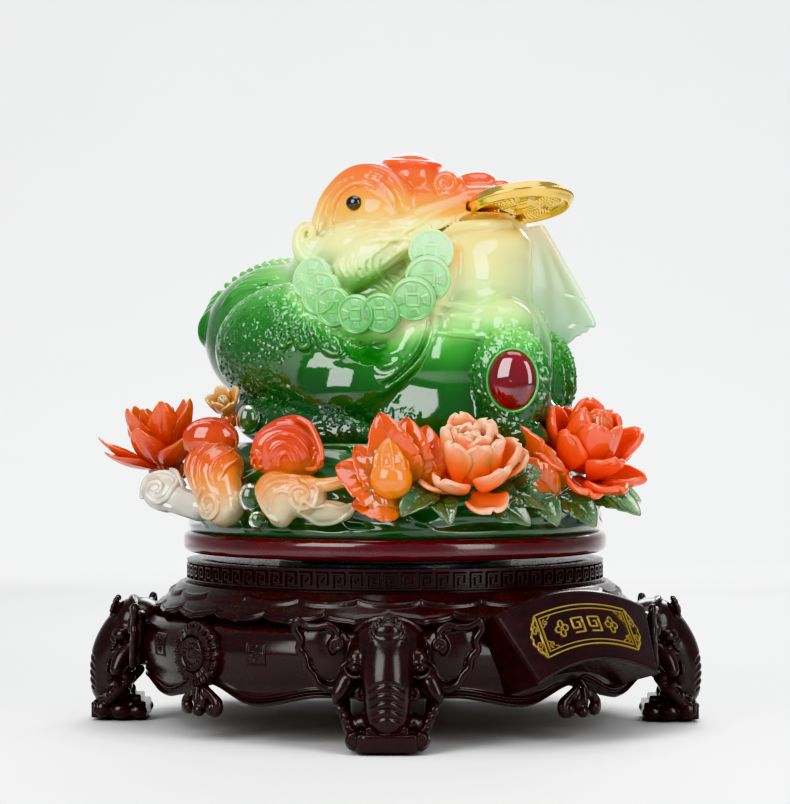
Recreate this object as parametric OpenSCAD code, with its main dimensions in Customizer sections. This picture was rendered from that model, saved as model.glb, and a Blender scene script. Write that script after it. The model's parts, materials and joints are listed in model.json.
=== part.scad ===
// Three-legged toad ornament on a turning disc and an elephant-leg pedestal.
// Origin: centre of the feet, on the ground. +Z up, the front faces -Y. Millimetres.

/* [Pedestal] */
// Radius over the four elephant feet
foot_reach = 161; // [158:1:166]
// Largest radius of the bulging drum
drum_r = 136; // [134:1:138]
// Wall thickness of the hollow drum
drum_wall = 8; // [6:0.5:10]
// Height of the pedestal's flat top
pedestal_top = 86; // [86:1:88]
// Number of petals in the scalloped collar
collar_petals = 24; // [16:1:36]
// Width of the plaque along its upper edge
plaque_w = 107; // [100:1:110]
// Height of the plaque along its slope
plaque_h = 38; // [34:1:40]

/* [Turning disc] */
// Radius of the lacquered disc
disc_r = 112.7; // [110:0.1:116]
// Thickness of the lacquered disc
disc_h = 11; // [10:0.5:12]
// Gap between the pedestal's top and the disc
disc_gap = 4; // [3.5:0.5:5]
// Number of bearing balls
ball_count = 16; // [8:1:24]

/* [Toad] */
// Height of the mound's flat top above the disc
mound_h = 47; // [44:1:50]
// Direction that the toad faces, counted from +X
toad_heading = -27; // [-35:1:-20]
// Diameter of the mouth coin
coin_d = 56; // [50:1:58]
// Thickness of the mouth coin
coin_t = 4; // [3:0.5:4.5]

/* [Hidden] */
$fn = 64;

fit = 0.05;               // radial clearance of a running fit
clear = 0.3;              // gap between pieces that are glued or only lie close
tiny = 0.01;

// Heights of the pedestal, from the ground up
pad_h = 1.5;
apron_z = 17;
drum_z = 26;
cover_z = 27;
cover_h = 3;
collar_low_z = 59;
neck_z = 73;
neck_r = 104;
fret_r = 111;
plate_h = 8;              // thickness of the drum's top wall

// Bearing
race_pocket = 5;          // depth of the recess for the lower race
race_h = 2.6;
race_in = 30;
race_out = 62;
ball_r = 2.5;
ball_path_r = 45;
race_screw_r = 56;
cage_h = 1.8;
cage_w = 10;
disc_z = pedestal_top + disc_gap;
disc_top = disc_z + disc_h;
lower_race_z = pedestal_top - race_pocket;
ball_z = (lower_race_z + disc_z) / 2;
pivot_r = 4;
bush_r = 7;

// Mound and toad
mound_top = disc_top + mound_h;
mound_foot_r = 111;
mound_top_r = 84;
stud_r = 4;
stud_spread = 40;
stud_top = mound_top + 25;
pocket_h = 12;            // depth of the pockets under the mound
mound_screw_r = 88;

// Mouth coin: where it lies at rest and how its plane leans
coin_c = [66, -43, 272];
coin_rise = 11.2;         // upward slope along the toad's heading
coin_roll = 7.8;          // lean towards the toad's right side
coin_travel = 50;
coin_hole = 9;

eye_forward = -4;
eye_side = 33;
eye_z = 274;
eye_r = 5;
stone_pos = [[90, 38, 180], [74, -38, 180]];

// Common shapes

module ring(r_out, r_in, z0, z1) {
    translate([0, 0, z0]) difference() {
        cylinder(r = r_out, h = z1 - z0);
        translate([0, 0, -1]) cylinder(r = r_in, h = z1 - z0 + 2);
    }
}

module around(n, r, start = 0) {
    for (i = [0 : n - 1]) rotate([0, 0, start + i * 360 / n]) translate([r, 0, 0]) children();
}

// Countersunk screw standing on its head, with its head's face at z = 0
module screw_up(shank_r, length, head_r, head_h) {
    cylinder(r1 = head_r, r2 = shank_r, h = head_h);
    translate([0, 0, head_h - tiny]) cylinder(r = shank_r, h = length - head_h);
}

// Countersunk hole that takes screw_up with a small clearance
module screw_hole(shank_r, length, head_r, head_h) {
    translate([0, 0, -tiny]) cylinder(r1 = head_r + fit, r2 = shank_r + fit, h = head_h + 2 * tiny);
    cylinder(r = shank_r + fit, h = length + 0.5);
}

module blob(at, size, facets) {
    translate(at) scale(size) sphere(r = 1, $fn = facets);
}

// Tapering limb from one blob to the next
module limb(a, size_a, b, size_b, facets = 12) {
    hull() {
        blob(a, size_a, facets);
        blob(b, size_b, facets);
    }
}

// Pedestal

drum_profile = [
    [neck_r, pedestal_top], [neck_r, neck_z], [109, 70.5], [124, collar_low_z - 1.5],
    [128.5, 57], [133, 53], [drum_r - 0.7, 49], [drum_r, 45], [drum_r - 0.5, 40], [134, 34],
    [131.5, 29], [130.5, drum_z]
];

function grown(points, by) = [for (p = points) [p[0] + by, p[1]]];

module drum_envelope(grow = 0) {
    rotate_extrude($fn = 96) polygon(concat(
        [[0, apron_z - 5], [0, pedestal_top]],
        grown(drum_profile, grow),
        [[130.5 + grow, apron_z - 5]]
    ));
}

// Space that the scalloped collar and the fret band take up
module collar_envelope() {
    rotate_extrude($fn = 96) polygon([
        [0, collar_low_z - 2], [128.2, collar_low_z - 2], [128.2, collar_low_z + 1.5],
        [fret_r + 1.6, neck_z + 1], [fret_r + 1, pedestal_top + 2], [0, pedestal_top + 2]]);
}

cover_boss_r = 108;
leg_screw_z = 44;
leg_screw_side = 9;

module leg_screw_places() {
    for (i = [0 : 3], side = [-1, 1])
        rotate([0, 0, 90 * i]) translate([drum_r - drum_wall - 3, side * leg_screw_side, leg_screw_z])
            rotate([0, 90, 0]) children();
}

module pedestal_drum() {
    color([0.09, 0.02, 0.025]) difference() {
        union() {
            rotate_extrude() polygon(concat([[0, pedestal_top - race_pocket - plate_h], [0, pedestal_top]],
                drum_profile, [
                [130.5 - drum_wall, drum_z], [drum_r - drum_wall - 2.5, 34], [drum_r - drum_wall, 40],
                [drum_r - drum_wall, 49], [120, 57], [100, 66],
                [96, pedestal_top - race_pocket - plate_h]]));
            around(4, cover_boss_r, 45) translate([0, 0, cover_z + cover_h]) cylinder(r = 6, h = 36);
        }
        translate([0, 0, lower_race_z]) cylinder(r = race_out + clear, h = race_pocket + 1);
        translate([0, 0, 60]) cylinder(r = pivot_r + fit, h = 40);
        around(4, cover_boss_r, 45) translate([0, 0, cover_z]) cylinder(r = 1.5 + fit, h = 22);
        around(4, race_screw_r, 45) translate([0, 0, lower_race_z - 6.5]) cylinder(r = 1.5 + fit, h = 8);
        leg_screw_places() translate([0, 0, -10]) cylinder(r = 2 + fit, h = 40);
    }
}

module fret_band() {
    color([0.1, 0.025, 0.03]) {
        ring(fret_r - 1.2, neck_r + fit, neck_z + 0.6, pedestal_top);
        ring(fret_r, fret_r - 1.2 - tiny, neck_z + 0.6, neck_z + 2.4);
        ring(fret_r, fret_r - 1.2 - tiny, pedestal_top - 1.8, pedestal_top);
    }
}

module scalloped_collar() {
    color([0.1, 0.02, 0.03]) difference() {
        rotate_extrude() polygon([
            [fret_r - 5, neck_z + 0.3], [109.2, 70.8], [124, collar_low_z - 1.1], [127.5, collar_low_z - 1.1],
            [127.5, collar_low_z + 1], [fret_r + 1, neck_z + 0.3]]);
        around(collar_petals, 130) translate([0, 0, 50]) cylinder(r = 5, h = 20, $fn = 32);
    }
}

// One sector's length of moulding, with a three-lobed scroll hanging at its middle
module apron_length() {
    sweep = 52;
    rotate([0, 0, 45 - sweep / 2]) rotate_extrude(angle = sweep) polygon([
        [127, apron_z + 3], [130, apron_z], [135, apron_z + 1], [137, apron_z + 5],
        [134, drum_z - 0.05], [127, drum_z - 0.05]]);
    for (side = [-1, 0, 1]) rotate([0, 0, 45 + side * 3.2])
        translate([131, 0, apron_z + 1.5 - 2 * (1 - abs(side))]) sphere(r = 4.5, $fn = 32);
}

module apron_moulding() {
    color([0.09, 0.02, 0.025]) for (i = [0 : 3]) rotate([0, 0, 90 * i]) apron_length();
}

// Elephant head with a trunk that stands on a stepped foot, facing +X
module elephant_shape() {
    foot_c = foot_reach - 14;
    limb([135, 0, 49], [14, 20, 15], [144, 0, 36], [11, 13, 11]);
    limb([144, 0, 36], [11, 12, 10], [148, 0, 22], [9, 9.5, 9]);
    limb([148, 0, 22], [9, 9.5, 9], [foot_c, 0, 11], [11, 14, 8]);
    hull() for (x = [foot_c - 12, foot_c + 12], y = [-15, 15])
        translate([x, y, pad_h]) cylinder(r = 2, h = 8.5, $fn = 12);
    for (side = [-1, 1]) {
        limb([136, side * 20, 56], [6, 8, 7], [139, side * 31, 47], [5, 7, 14]);
        limb([139, side * 31, 47], [5, 7, 14], [141, side * 30, 36], [5, 6, 7]);
        limb([150, side * 15, 9], [8, 6, 6], [foot_reach - 7, side * 15, 8], [7, 6, 6]);
    }
    limb([134, 0, 62], [6, 8, 6], [137, 0, 58], [8, 10, 5]);
}

module elephant_leg(turn) {
    color([0.11, 0.025, 0.03]) rotate([0, 0, turn]) difference() {
        elephant_shape();
        drum_envelope(clear);
        collar_envelope();
        for (side = [-1, 1]) translate([drum_r, side * leg_screw_side, leg_screw_z])
            rotate([0, 90, 0]) cylinder(r = 2 + fit, h = 9, center = true, $fn = 32);
        translate([0, 0, -20]) cylinder(r = foot_reach + 5, h = 20 + pad_h);
    }
}

module leg_screws() {
    color("silver") leg_screw_places() {
        cylinder(r = 2, h = 13);
        translate([0, 0, -2]) cylinder(r = 4, h = 2);
    }
}

module felt_pads() {
    color([0.1, 0.1, 0.1]) around(4, foot_reach - 14) cylinder(r = 11, h = pad_h - tiny);
}

module base_cover() {
    color([0.25, 0.22, 0.2]) difference() {
        translate([0, 0, cover_z - 1]) cylinder(r = 121, h = cover_h + 1 - tiny);
        around(4, cover_boss_r, 45) translate([0, 0, cover_z - 1]) screw_hole(1.5, 10, 3.2, 2);
    }
}

module cover_screws() {
    color("silver") around(4, cover_boss_r, 45) translate([0, 0, cover_z - 1]) screw_up(1.5, 14, 3.2, 2);
}

// Round flower boss, lying in the XY plane and facing +Z
module flower_boss() {
    cylinder(r = 12.5, h = 4);
    for (i = [0 : 15]) rotate([0, 0, i * 22.5]) translate([13, 0, 0]) cylinder(r = 3, h = 3, $fn = 24);
    translate([0, 0, 4]) cylinder(r1 = 8, r2 = 6.5, h = 2);
}

module medallions() {
    color([0.11, 0.03, 0.035]) for (turn = [45, 135, 225])
        rotate([0, 0, turn]) translate([drum_r + clear, 0, 43]) rotate([0, 90, 0]) flower_boss();
}

// Plaque: a fan-shaped slab that leans back against the drum
plaque_turn = -47;
plaque_lean = 28;
plaque_arch = 9;
plaque_t = 18;
plaque_z = 33;
plaque_taper = 0.79;      // lower width over upper width

function arch_line(w, y, arch, steps = 12) =
    [for (i = [0 : steps]) [-w / 2 + w * i / steps, y + arch * sin(180 * i / steps)]];

function fan(w, h, arch, y = 0) = concat(
    arch_line(w * plaque_taper, y, arch),
    [for (i = [12 : -1 : 0]) arch_line(w, y + h, arch)[i]]
);

module on_plaque() {
    rotate([0, 0, plaque_turn]) translate([drum_r + 18, 0, plaque_z]) rotate([90, 0, 90])
        rotate([-plaque_lean, 0, 0]) children();
}

module plaque() {
    color([0.08, 0.02, 0.025]) difference() {
        on_plaque() translate([0, 0, -plaque_t]) linear_extrude(plaque_t)
            polygon(fan(plaque_w, plaque_h, plaque_arch));
        drum_envelope(clear);
        collar_envelope();
    }
}

// Gold frame of two lines with four key squares inside it
module plaque_inlay() {
    frame_w = plaque_w * 0.72;
    frame_h = plaque_h * 0.6;
    frame_y = plaque_h * 0.2;
    line = 0.9;
    key = 9;
    frame_arch = plaque_arch * 0.5;
    color([0.9, 0.65, 0.2]) on_plaque() translate([0, frame_y + 3, tiny]) {
        for (inset = [0, 2.4]) linear_extrude(0.6) difference() {
            polygon(fan(frame_w - 2 * inset, frame_h - 2 * inset, frame_arch, inset));
            polygon(fan(frame_w - 2 * inset - 2 * line, frame_h - 2 * inset - 2 * line, frame_arch, inset + line));
        }
        for (i = [-1.5 : 1 : 1.5]) translate([i * 14, frame_h / 2 + frame_arch * cos(i * 40), 0])
            linear_extrude(0.6) difference() {
                square(key, center = true);
                square(key - 2.4, center = true);
            }
    }
}

// Bearing

module ball_groove() {
    translate([0, 0, ball_z]) rotate_extrude() translate([ball_path_r, 0]) circle(r = ball_r + fit);
}

module lower_race() {
    color([0.75, 0.75, 0.78]) difference() {
        ring(race_out, race_in, lower_race_z, lower_race_z + race_h);
        ball_groove();
        around(4, race_screw_r, 45) translate([0, 0, lower_race_z + race_h]) rotate([180, 0, 0])
            screw_hole(1.5, 5, 2.95, 1.8);
    }
}

module lower_race_screws() {
    color("silver") around(4, race_screw_r, 45) translate([0, 0, lower_race_z + race_h - 0.1])
        rotate([180, 0, 0]) screw_up(1.5, 8, 2.8, 1.8);
}

module pivot_bolt() {
    color("silver") {
        translate([0, 0, lower_race_z - plate_h - 5 - 1.6]) cylinder(r = 7, h = 5, $fn = 6);
        translate([0, 0, lower_race_z - plate_h - 1.7]) cylinder(r = pivot_r, h = disc_top + 11 - lower_race_z + plate_h);
    }
}

// One washer under the drum's top wall and one over the bush, which stays free to turn
module pivot_washers() {
    color("silver") {
        ring(11, pivot_r + fit, lower_race_z - plate_h - 1.6, lower_race_z - plate_h - tiny);
        ring(9, pivot_r + fit, disc_top + 0.3, disc_top + 1.9);
    }
}

module pivot_nut() {
    color("silver") translate([0, 0, disc_top + 1.9 + tiny]) difference() {
        cylinder(r = 7.5, h = 6, $fn = 6);
        translate([0, 0, -1]) cylinder(r = pivot_r + fit, h = 9);
    }
}

module ball_cage() {
    color([0.9, 0.9, 0.86]) difference() {
        ring(ball_path_r + cage_w / 2, ball_path_r - cage_w / 2, ball_z - cage_h / 2, ball_z + cage_h / 2);
        around(ball_count, ball_path_r) translate([0, 0, ball_z - 2]) cylinder(r = ball_r + fit, h = 4);
    }
}

module bearing_balls() {
    color("silver") around(ball_count, ball_path_r) translate([0, 0, ball_z]) sphere(r = ball_r);
}

// Turning disc and mound

module upper_race() {
    color([0.75, 0.75, 0.78]) difference() {
        ring(race_out, race_in, disc_z - race_h, disc_z - tiny);
        ball_groove();
        around(4, race_screw_r) translate([0, 0, disc_z - race_h]) screw_hole(1.5, 5, 2.95, 1.8);
    }
}

module upper_race_screws() {
    color("silver") around(4, race_screw_r) translate([0, 0, disc_z - race_h + 0.1]) screw_up(1.5, 9, 2.8, 1.8);
}

module pivot_bush() {
    color([0.8, 0.6, 0.3]) ring(bush_r, pivot_r + fit, disc_z + 0.5, disc_top);
}

module lacquer_disc() {
    edge_r = 4;
    color([0.3, 0.01, 0.02]) difference() {
        rotate_extrude() union() {
            square([disc_r - edge_r, disc_h]);
            translate([0, edge_r]) square([disc_r, disc_h - 2 * edge_r]);
            translate([disc_r - edge_r, edge_r]) circle(r = edge_r);
            translate([disc_r - edge_r, disc_h - edge_r]) circle(r = edge_r);
        }
        translate([0, 0, -1]) cylinder(r = bush_r + 0.02, h = disc_h + 2);
        around(4, race_screw_r) translate([0, 0, -1]) cylinder(r = 1.5 + fit, h = 9);
        around(4, mound_screw_r, 20) screw_hole(2, disc_h, 4.2, 2.6);
    }
}

module mound_screws() {
    color("silver") around(4, mound_screw_r, 20) translate([0, 0, disc_z]) screw_up(2, 20, 4.2, 2.6);
}

module mound_profile(grow = 0) {
    polygon([
        [0, 0], [mound_foot_r - 2 + grow, 0], [mound_foot_r + grow, 4], [mound_foot_r - 2 + grow, 12],
        [104 + grow, 24], [96 + grow, 36], [mound_top_r + grow, mound_h], [0, mound_h]]);
}

module mound() {
    color([0.05, 0.35, 0.08]) translate([0, 0, disc_top + tiny]) difference() {
        rotate_extrude() mound_profile();
        translate([0, 0, -1]) cylinder(r = 14, h = pocket_h + 1);
        for (side = [-1, 1]) translate([side * stud_spread, 0, -1]) {
            cylinder(r = 10, h = pocket_h + 1);
            cylinder(r = stud_r + fit, h = mound_h + 2);
        }
        around(4, mound_screw_r, 20) translate([0, 0, -1]) cylinder(r = 2 + fit, h = 11);
    }
}

module toad_studs() {
    color("silver") for (side = [-1, 1]) translate([side * stud_spread, 0, disc_top + 2])
        cylinder(r = stud_r, h = stud_top - disc_top - 2);
}

module stud_nuts() {
    color("silver") for (side = [-1, 1]) translate([side * stud_spread, 0, disc_top + pocket_h - 5])
        difference() {
            cylinder(r = 7, h = 5 - tiny, $fn = 6);
            translate([0, 0, -1]) cylinder(r = stud_r + fit, h = 7);
        }
}

// Toad, in its own directions: forward, to its right side, up

module toad_axes() {
    rotate([0, 0, toad_heading]) mirror([0, 1, 0]) children();
}

module coin_axes() {
    translate(coin_c) rotate([0, 0, toad_heading]) rotate([0, -coin_rise, 0]) rotate([-coin_roll, 0, 0]) children();
}

module coin_slot() {
    coin_axes() hull() for (x = [0, coin_travel + 40]) translate([x, 0, 0])
        cylinder(r = coin_d / 2 + clear, h = coin_t + 2 * clear, center = true, $fn = 48);
}

module toad_shape() {
    limb([20, 0, 185], [66, 50, 46], [45, 0, 225], [42, 42, 40]);
    limb([-45, 8, 200], [45, 42, 42], [10, 0, 200], [50, 46, 50]);
    limb([-85, 10, 205], [26, 24, 24], [-50, 4, 215], [34, 34, 30]);
    for (side = [-1, 1]) {
        limb([-32, side * 46, 196], [36, 24, 34], [-20, side * 42, 176], [32, 22, 26]);
        limb([eye_forward, side * 24, 272], [22, 12, 20], [eye_forward + 4, side * 12, 266], [24, 14, 20]);
        limb([-14, side * 44, 250], [12, 10, 10], [70, side * 22, 272], [10, 9, 8]);
        limb([40, side * 42, 248], [18, 5, 16], [62, side * 46, 216], [12, 4, 14]);
    }
    for (at = stone_pos) {
        side = sign(at[1]);
        limb([at[0] - 13, side * 28, 180], [20, 18, 28], [at[0] - 2, side * 27, 160], [16, 15, 16]);
    }
    limb([10, 0, 262], [34, 36, 24], [58, 0, 270], [24, 26, 12]);
    limb([30, 0, 240], [42, 36, 22], [60, 0, 250], [22, 24, 14]);
    limb([12, 0, 282], [12, 12, 12], [16, 0, 292], [11, 11, 10]);
    limb([10, 44, 226], [20, 6, 14], [-36, 50, 236], [12, 6, 12]);
    limb([76, 0, 284], [10, 14, 6], [40, 0, 284], [12, 16, 6]);
}

module toad() {
    color([0.2, 0.6, 0.2]) difference() {
        toad_axes() toad_shape();
        coin_slot();
        for (side = [-1, 1]) {
            toad_axes() translate([eye_forward, side * eye_side, eye_z]) sphere(r = eye_r + clear, $fn = 24);
            translate([side * stud_spread, 0, mound_top - 1]) cylinder(r = stud_r + fit, h = stud_top - mound_top + 2, $fn = 48);
        }
        for (at = stone_pos) toad_axes() stone(at, clear);
        translate([-200, -200, 0]) cube([400, 400, mound_top + 2 * tiny]);
    }
}

module toad_eyes() {
    color([0.02, 0.01, 0.01]) toad_axes() for (side = [-1, 1])
        translate([eye_forward, side * eye_side, eye_z]) sphere(r = eye_r);
}

// Oval polished stone let into the shoulder
module stone(at, grow = 0) {
    hull() for (lift = [-4, 4]) translate([at[0], at[1], at[2] + lift])
        rotate([90, 0, 0]) cylinder(r1 = 12 + grow, r2 = 12 + grow, h = 16 + 2 * grow, center = true, $fn = 32);
}

module shoulder_stones() {
    color([0.4, 0, 0.02]) toad_axes() for (at = stone_pos) stone(at);
}

module mouth_coin() {
    color([0.9, 0.65, 0.2]) coin_axes() difference() {
        cylinder(r = coin_d / 2, h = coin_t, center = true);
        cube([coin_hole, coin_hole, coin_t + 2], center = true);
    }
}

// Clouds, flowers and leaves, glued around the mound

module clear_of_mound() {
    difference() {
        children();
        translate([0, 0, disc_top]) rotate_extrude($fn = 96) mound_profile(clear);
        cylinder(r = disc_r + 1, h = disc_top + clear, $fn = 96);
    }
}

// Row of rolled puffs that grow along an arc
module puffs(from, to, size, n) {
    for (i = [0 : n - 2]) limb(
        from + (to - from) * i / (n - 1) + [0, 0, size * 0.5 * sin(180 * i / (n - 1))],
        [1, 0.8, 1] * size * (0.7 + 0.3 * i / (n - 1)),
        from + (to - from) * (i + 1) / (n - 1) + [0, 0, size * 0.5 * sin(180 * (i + 1) / (n - 1))],
        [1, 0.8, 1] * size * (0.7 + 0.3 * (i + 1) / (n - 1))
    );
}

// Open flower with a ring of leaning petals around a closed heart
module flower(r, petals, lean) {
    limb([0, 0, -r * 0.25], [0.35, 0.35, 0.3] * r, [0, 0, r * 0.2], [0.45, 0.45, 0.4] * r, 8);
    for (i = [0 : petals - 1]) rotate([0, 0, i * 360 / petals]) rotate([0, lean, 0])
        limb([r * 0.2, 0, 0], [0.25, 0.25, 0.12] * r, [r * 0.68, 0, r * 0.1], [0.3, 0.34, 0.1] * r, 8);
}

module placed_flower(at, r, petals, lean, tip, turn) {
    translate(at) rotate([tip, 0, turn]) flower(r, petals, lean);
}

module cloud_bank() {
    color([1, 0.6, 0.3]) clear_of_mound() {
        puffs([-112, -62, 122], [-86, -84, 134], 15, 5);
        puffs([-122, -55, 123], [-112, -62, 122], 10, 3);
        puffs([-96, -61, 148], [-89, -64, 151], 11, 3);
    }
}

module ruyi_cloud() {
    color([0.95, 0.3, 0.1]) clear_of_mound() puffs([-64, -96, 138], [-38, -100, 146], 14, 9);
}

module spiral_cloud() {
    color([1, 0.75, 0.55]) clear_of_mound() puffs([-64, -110, 113], [-40, -114, 116], 9, 9);
}

module lotus() {
    color([0.85, 0.1, 0.02]) clear_of_mound() placed_flower([-119, -33, 150], 26, 9, -30, 12, 0);
}

module small_blossom() {
    color([1, 0.5, 0.15]) clear_of_mound() placed_flower([-87, -30, 167], 12, 8, -20, 60, -40);
}

module peach_peony() {
    color([1, 0.55, 0.4]) clear_of_mound() placed_flower([41, -112, 141], 27, 10, -30, 55, 10);
}

module red_peony() {
    color([0.95, 0.25, 0.1]) clear_of_mound() placed_flower([97, -68, 146], 29, 11, -30, 50, 38);
}

module flower_bud() {
    color([1, 0.45, 0.15]) clear_of_mound() puffs([1, -116, 125], [0, -117, 141], 9, 9);
}

// Pointed leaf of even thickness, lying in the XY plane along +X
module leaf(length, width) {
    half = [for (i = [0 : 10]) [length * i / 10, width / 2 * sin(180 * pow(i / 10, 0.8))]];
    linear_extrude(3) polygon(concat(half, [for (i = [9 : -1 : 1]) [half[i][0], -half[i][1]]]));
}

module orange_leaves() {
    color([1, 0.45, 0.1]) {
        translate([-28, -121, 104]) rotate([72, -75, 0]) leaf(42, 18);
        translate([21, -123, 116]) rotate([72, -98, 0]) leaf(44, 16);
    }
}

module green_leaves() {
    color([0.03, 0.25, 0.06]) {
        translate([70, -97, 112]) rotate([0, 8, -50]) leaf(36, 22);
        translate([16, -118, 108]) rotate([0, 10, -80]) leaf(30, 20);
        translate([105, -40, 108]) rotate([0, 0, -12]) leaf(34, 24);
        translate([50, -108, 106]) rotate([0, 4, -66]) leaf(32, 22);
    }
}

pedestal_drum();
fret_band();
scalloped_collar();
apron_moulding();
elephant_leg(-90);  // elephant_leg_front
elephant_leg(0);  // elephant_leg_right
elephant_leg(90);  // elephant_leg_back
elephant_leg(180);  // elephant_leg_left
leg_screws();
felt_pads();
base_cover();
cover_screws();
medallions();
plaque();
plaque_inlay();
lower_race();
lower_race_screws();
pivot_bolt();
pivot_washers();
pivot_nut();
ball_cage();
bearing_balls();
upper_race();
upper_race_screws();
pivot_bush();
translate([0, 0, disc_z]) lacquer_disc();
mound_screws();
mound();
toad_studs();
stud_nuts();
toad();
toad_eyes();
shoulder_stones();
cloud_bank();
ruyi_cloud();
spiral_cloud();
lotus();
small_blossom();
peach_peony();
red_peony();
flower_bud();
orange_leaves();
green_leaves();
mouth_coin();
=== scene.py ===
"""Looks of the three-legged toad ornament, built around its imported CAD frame.

Shapes are worked out in millimetres and handed to Blender in metres.
"""

import json
import math

import bpy
import numpy as np
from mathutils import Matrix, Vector


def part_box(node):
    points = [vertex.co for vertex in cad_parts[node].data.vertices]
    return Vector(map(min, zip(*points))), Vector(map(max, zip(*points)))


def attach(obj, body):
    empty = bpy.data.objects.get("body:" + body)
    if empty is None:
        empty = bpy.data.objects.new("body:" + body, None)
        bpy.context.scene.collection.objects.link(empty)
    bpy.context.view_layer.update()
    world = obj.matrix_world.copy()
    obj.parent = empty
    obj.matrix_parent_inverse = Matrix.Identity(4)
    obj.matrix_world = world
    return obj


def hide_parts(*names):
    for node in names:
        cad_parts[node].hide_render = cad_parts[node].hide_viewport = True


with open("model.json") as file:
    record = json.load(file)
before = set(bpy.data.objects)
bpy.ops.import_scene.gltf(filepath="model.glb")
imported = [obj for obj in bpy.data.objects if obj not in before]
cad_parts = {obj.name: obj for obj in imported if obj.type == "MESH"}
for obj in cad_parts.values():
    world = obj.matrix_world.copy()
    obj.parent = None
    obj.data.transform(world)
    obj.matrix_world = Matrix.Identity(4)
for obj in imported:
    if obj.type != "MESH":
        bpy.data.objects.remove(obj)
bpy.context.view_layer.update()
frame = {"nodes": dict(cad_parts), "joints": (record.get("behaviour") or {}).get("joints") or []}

MM = 0.001
COARSE = 1.0     # grids are coarser while trying things


# ---------------------------------------------------------------- measures from the frame, in mm

def box_mm(node):
    low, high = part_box(node)
    return np.array(low) / MM, np.array(high) / MM


def top_of(node):
    return box_mm(node)[1][2]


def bottom_of(node):
    return box_mm(node)[0][2]


DISC_TOP = top_of("lacquer_disc")
DISC_R = box_mm("lacquer_disc")[1][0]
MOUND_TOP = top_of("mound")
DRUM_R = box_mm("pedestal_drum")[1][0]
FRET_LOW = bottom_of("fret_band")
FRET_TOP = top_of("fret_band")
FRET_R = box_mm("fret_band")[1][0]
FELT_TOP = top_of("felt_pads")

# The toad's own directions, from the way its coin slides: forward, its right side and up
JOINTS = {j["name"]: j for j in frame["joints"]}
COIN_AXIS = np.array(JOINTS["coin_slide"]["axis"])
FORWARD = COIN_AXIS * [1, 1, 0] / np.hypot(COIN_AXIS[0], COIN_AXIS[1])
RIGHT = np.array([FORWARD[1], -FORWARD[0], 0])
UP = np.array([0, 0, 1.0])


def toad_world(points):
    """From the toad's forward, right and up measures to the frame's."""
    p = np.asarray(points, float)
    return p[:, :1] * FORWARD + p[:, 1:2] * RIGHT + p[:, 2:3] * UP


# ---------------------------------------------------------------- meshes

def new_mesh(name, points_mm, faces, flip=False, smooth=True):
    mesh = bpy.data.meshes.new(name)
    if flip:
        faces = [tuple(reversed(f)) for f in faces] if isinstance(faces, list) else faces[:, ::-1]
    mesh.from_pydata((np.asarray(points_mm) * MM).tolist(), [],
                     faces if isinstance(faces, list) else faces.tolist())
    mesh.polygons.foreach_set("use_smooth", [smooth] * len(mesh.polygons))
    mesh.update()
    piece = bpy.data.objects.new(name, mesh)
    bpy.context.scene.collection.objects.link(piece)
    return piece


def placed(piece, body, slot, material, *nodes):
    """Finishes a piece: its body, its material and the CAD nodes it stands for. slot is not used."""
    piece.data.materials.clear()
    piece.data.materials.append(material)
    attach(piece, body)
    if nodes:
        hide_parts(*nodes)
    return piece


class Mesh:
    """Collects points and faces of several closed shells into one piece."""

    def __init__(self):
        self.points, self.faces, self.count = [], [], 0

    def add(self, points, faces):
        points = np.asarray(points, float)
        self.faces += [tuple(i + self.count for i in f) for f in faces]
        self.points.append(points)
        self.count += len(points)

    def piece(self, name, smooth=True):
        return new_mesh(name, np.vstack(self.points), self.faces, smooth=smooth)


def grid_faces(rows, cols, wrap_cols=False, wrap_rows=False):
    """Quads of a grid of rows x cols points, which may close on itself either way."""
    r = np.arange(rows if wrap_rows else rows - 1)
    c = np.arange(cols if wrap_cols else cols - 1)
    rr, cc = np.meshgrid(r, c, indexing="ij")
    r2, c2 = (rr + 1) % rows, (cc + 1) % cols
    quads = np.stack([rr * cols + cc, rr * cols + c2, r2 * cols + c2, r2 * cols + cc], -1)
    return [tuple(q) for q in quads.reshape(-1, 4).tolist()]


# ---------------------------------------------------------------- clay: shapes carved on a distance grid

def smooth_step(t):
    t = np.clip(t, 0, 1)
    return t * t * (3 - 2 * t)


def turned(axis, degrees):
    """Rotation matrix about one of the three axes."""
    a = math.radians(degrees)
    c, s = math.cos(a), math.sin(a)
    i, j = {"x": (1, 2), "y": (2, 0), "z": (0, 1)}[axis]
    m = np.eye(3)
    m[i, i] = m[j, j] = c
    m[i, j], m[j, i] = -s, s
    return m


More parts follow.
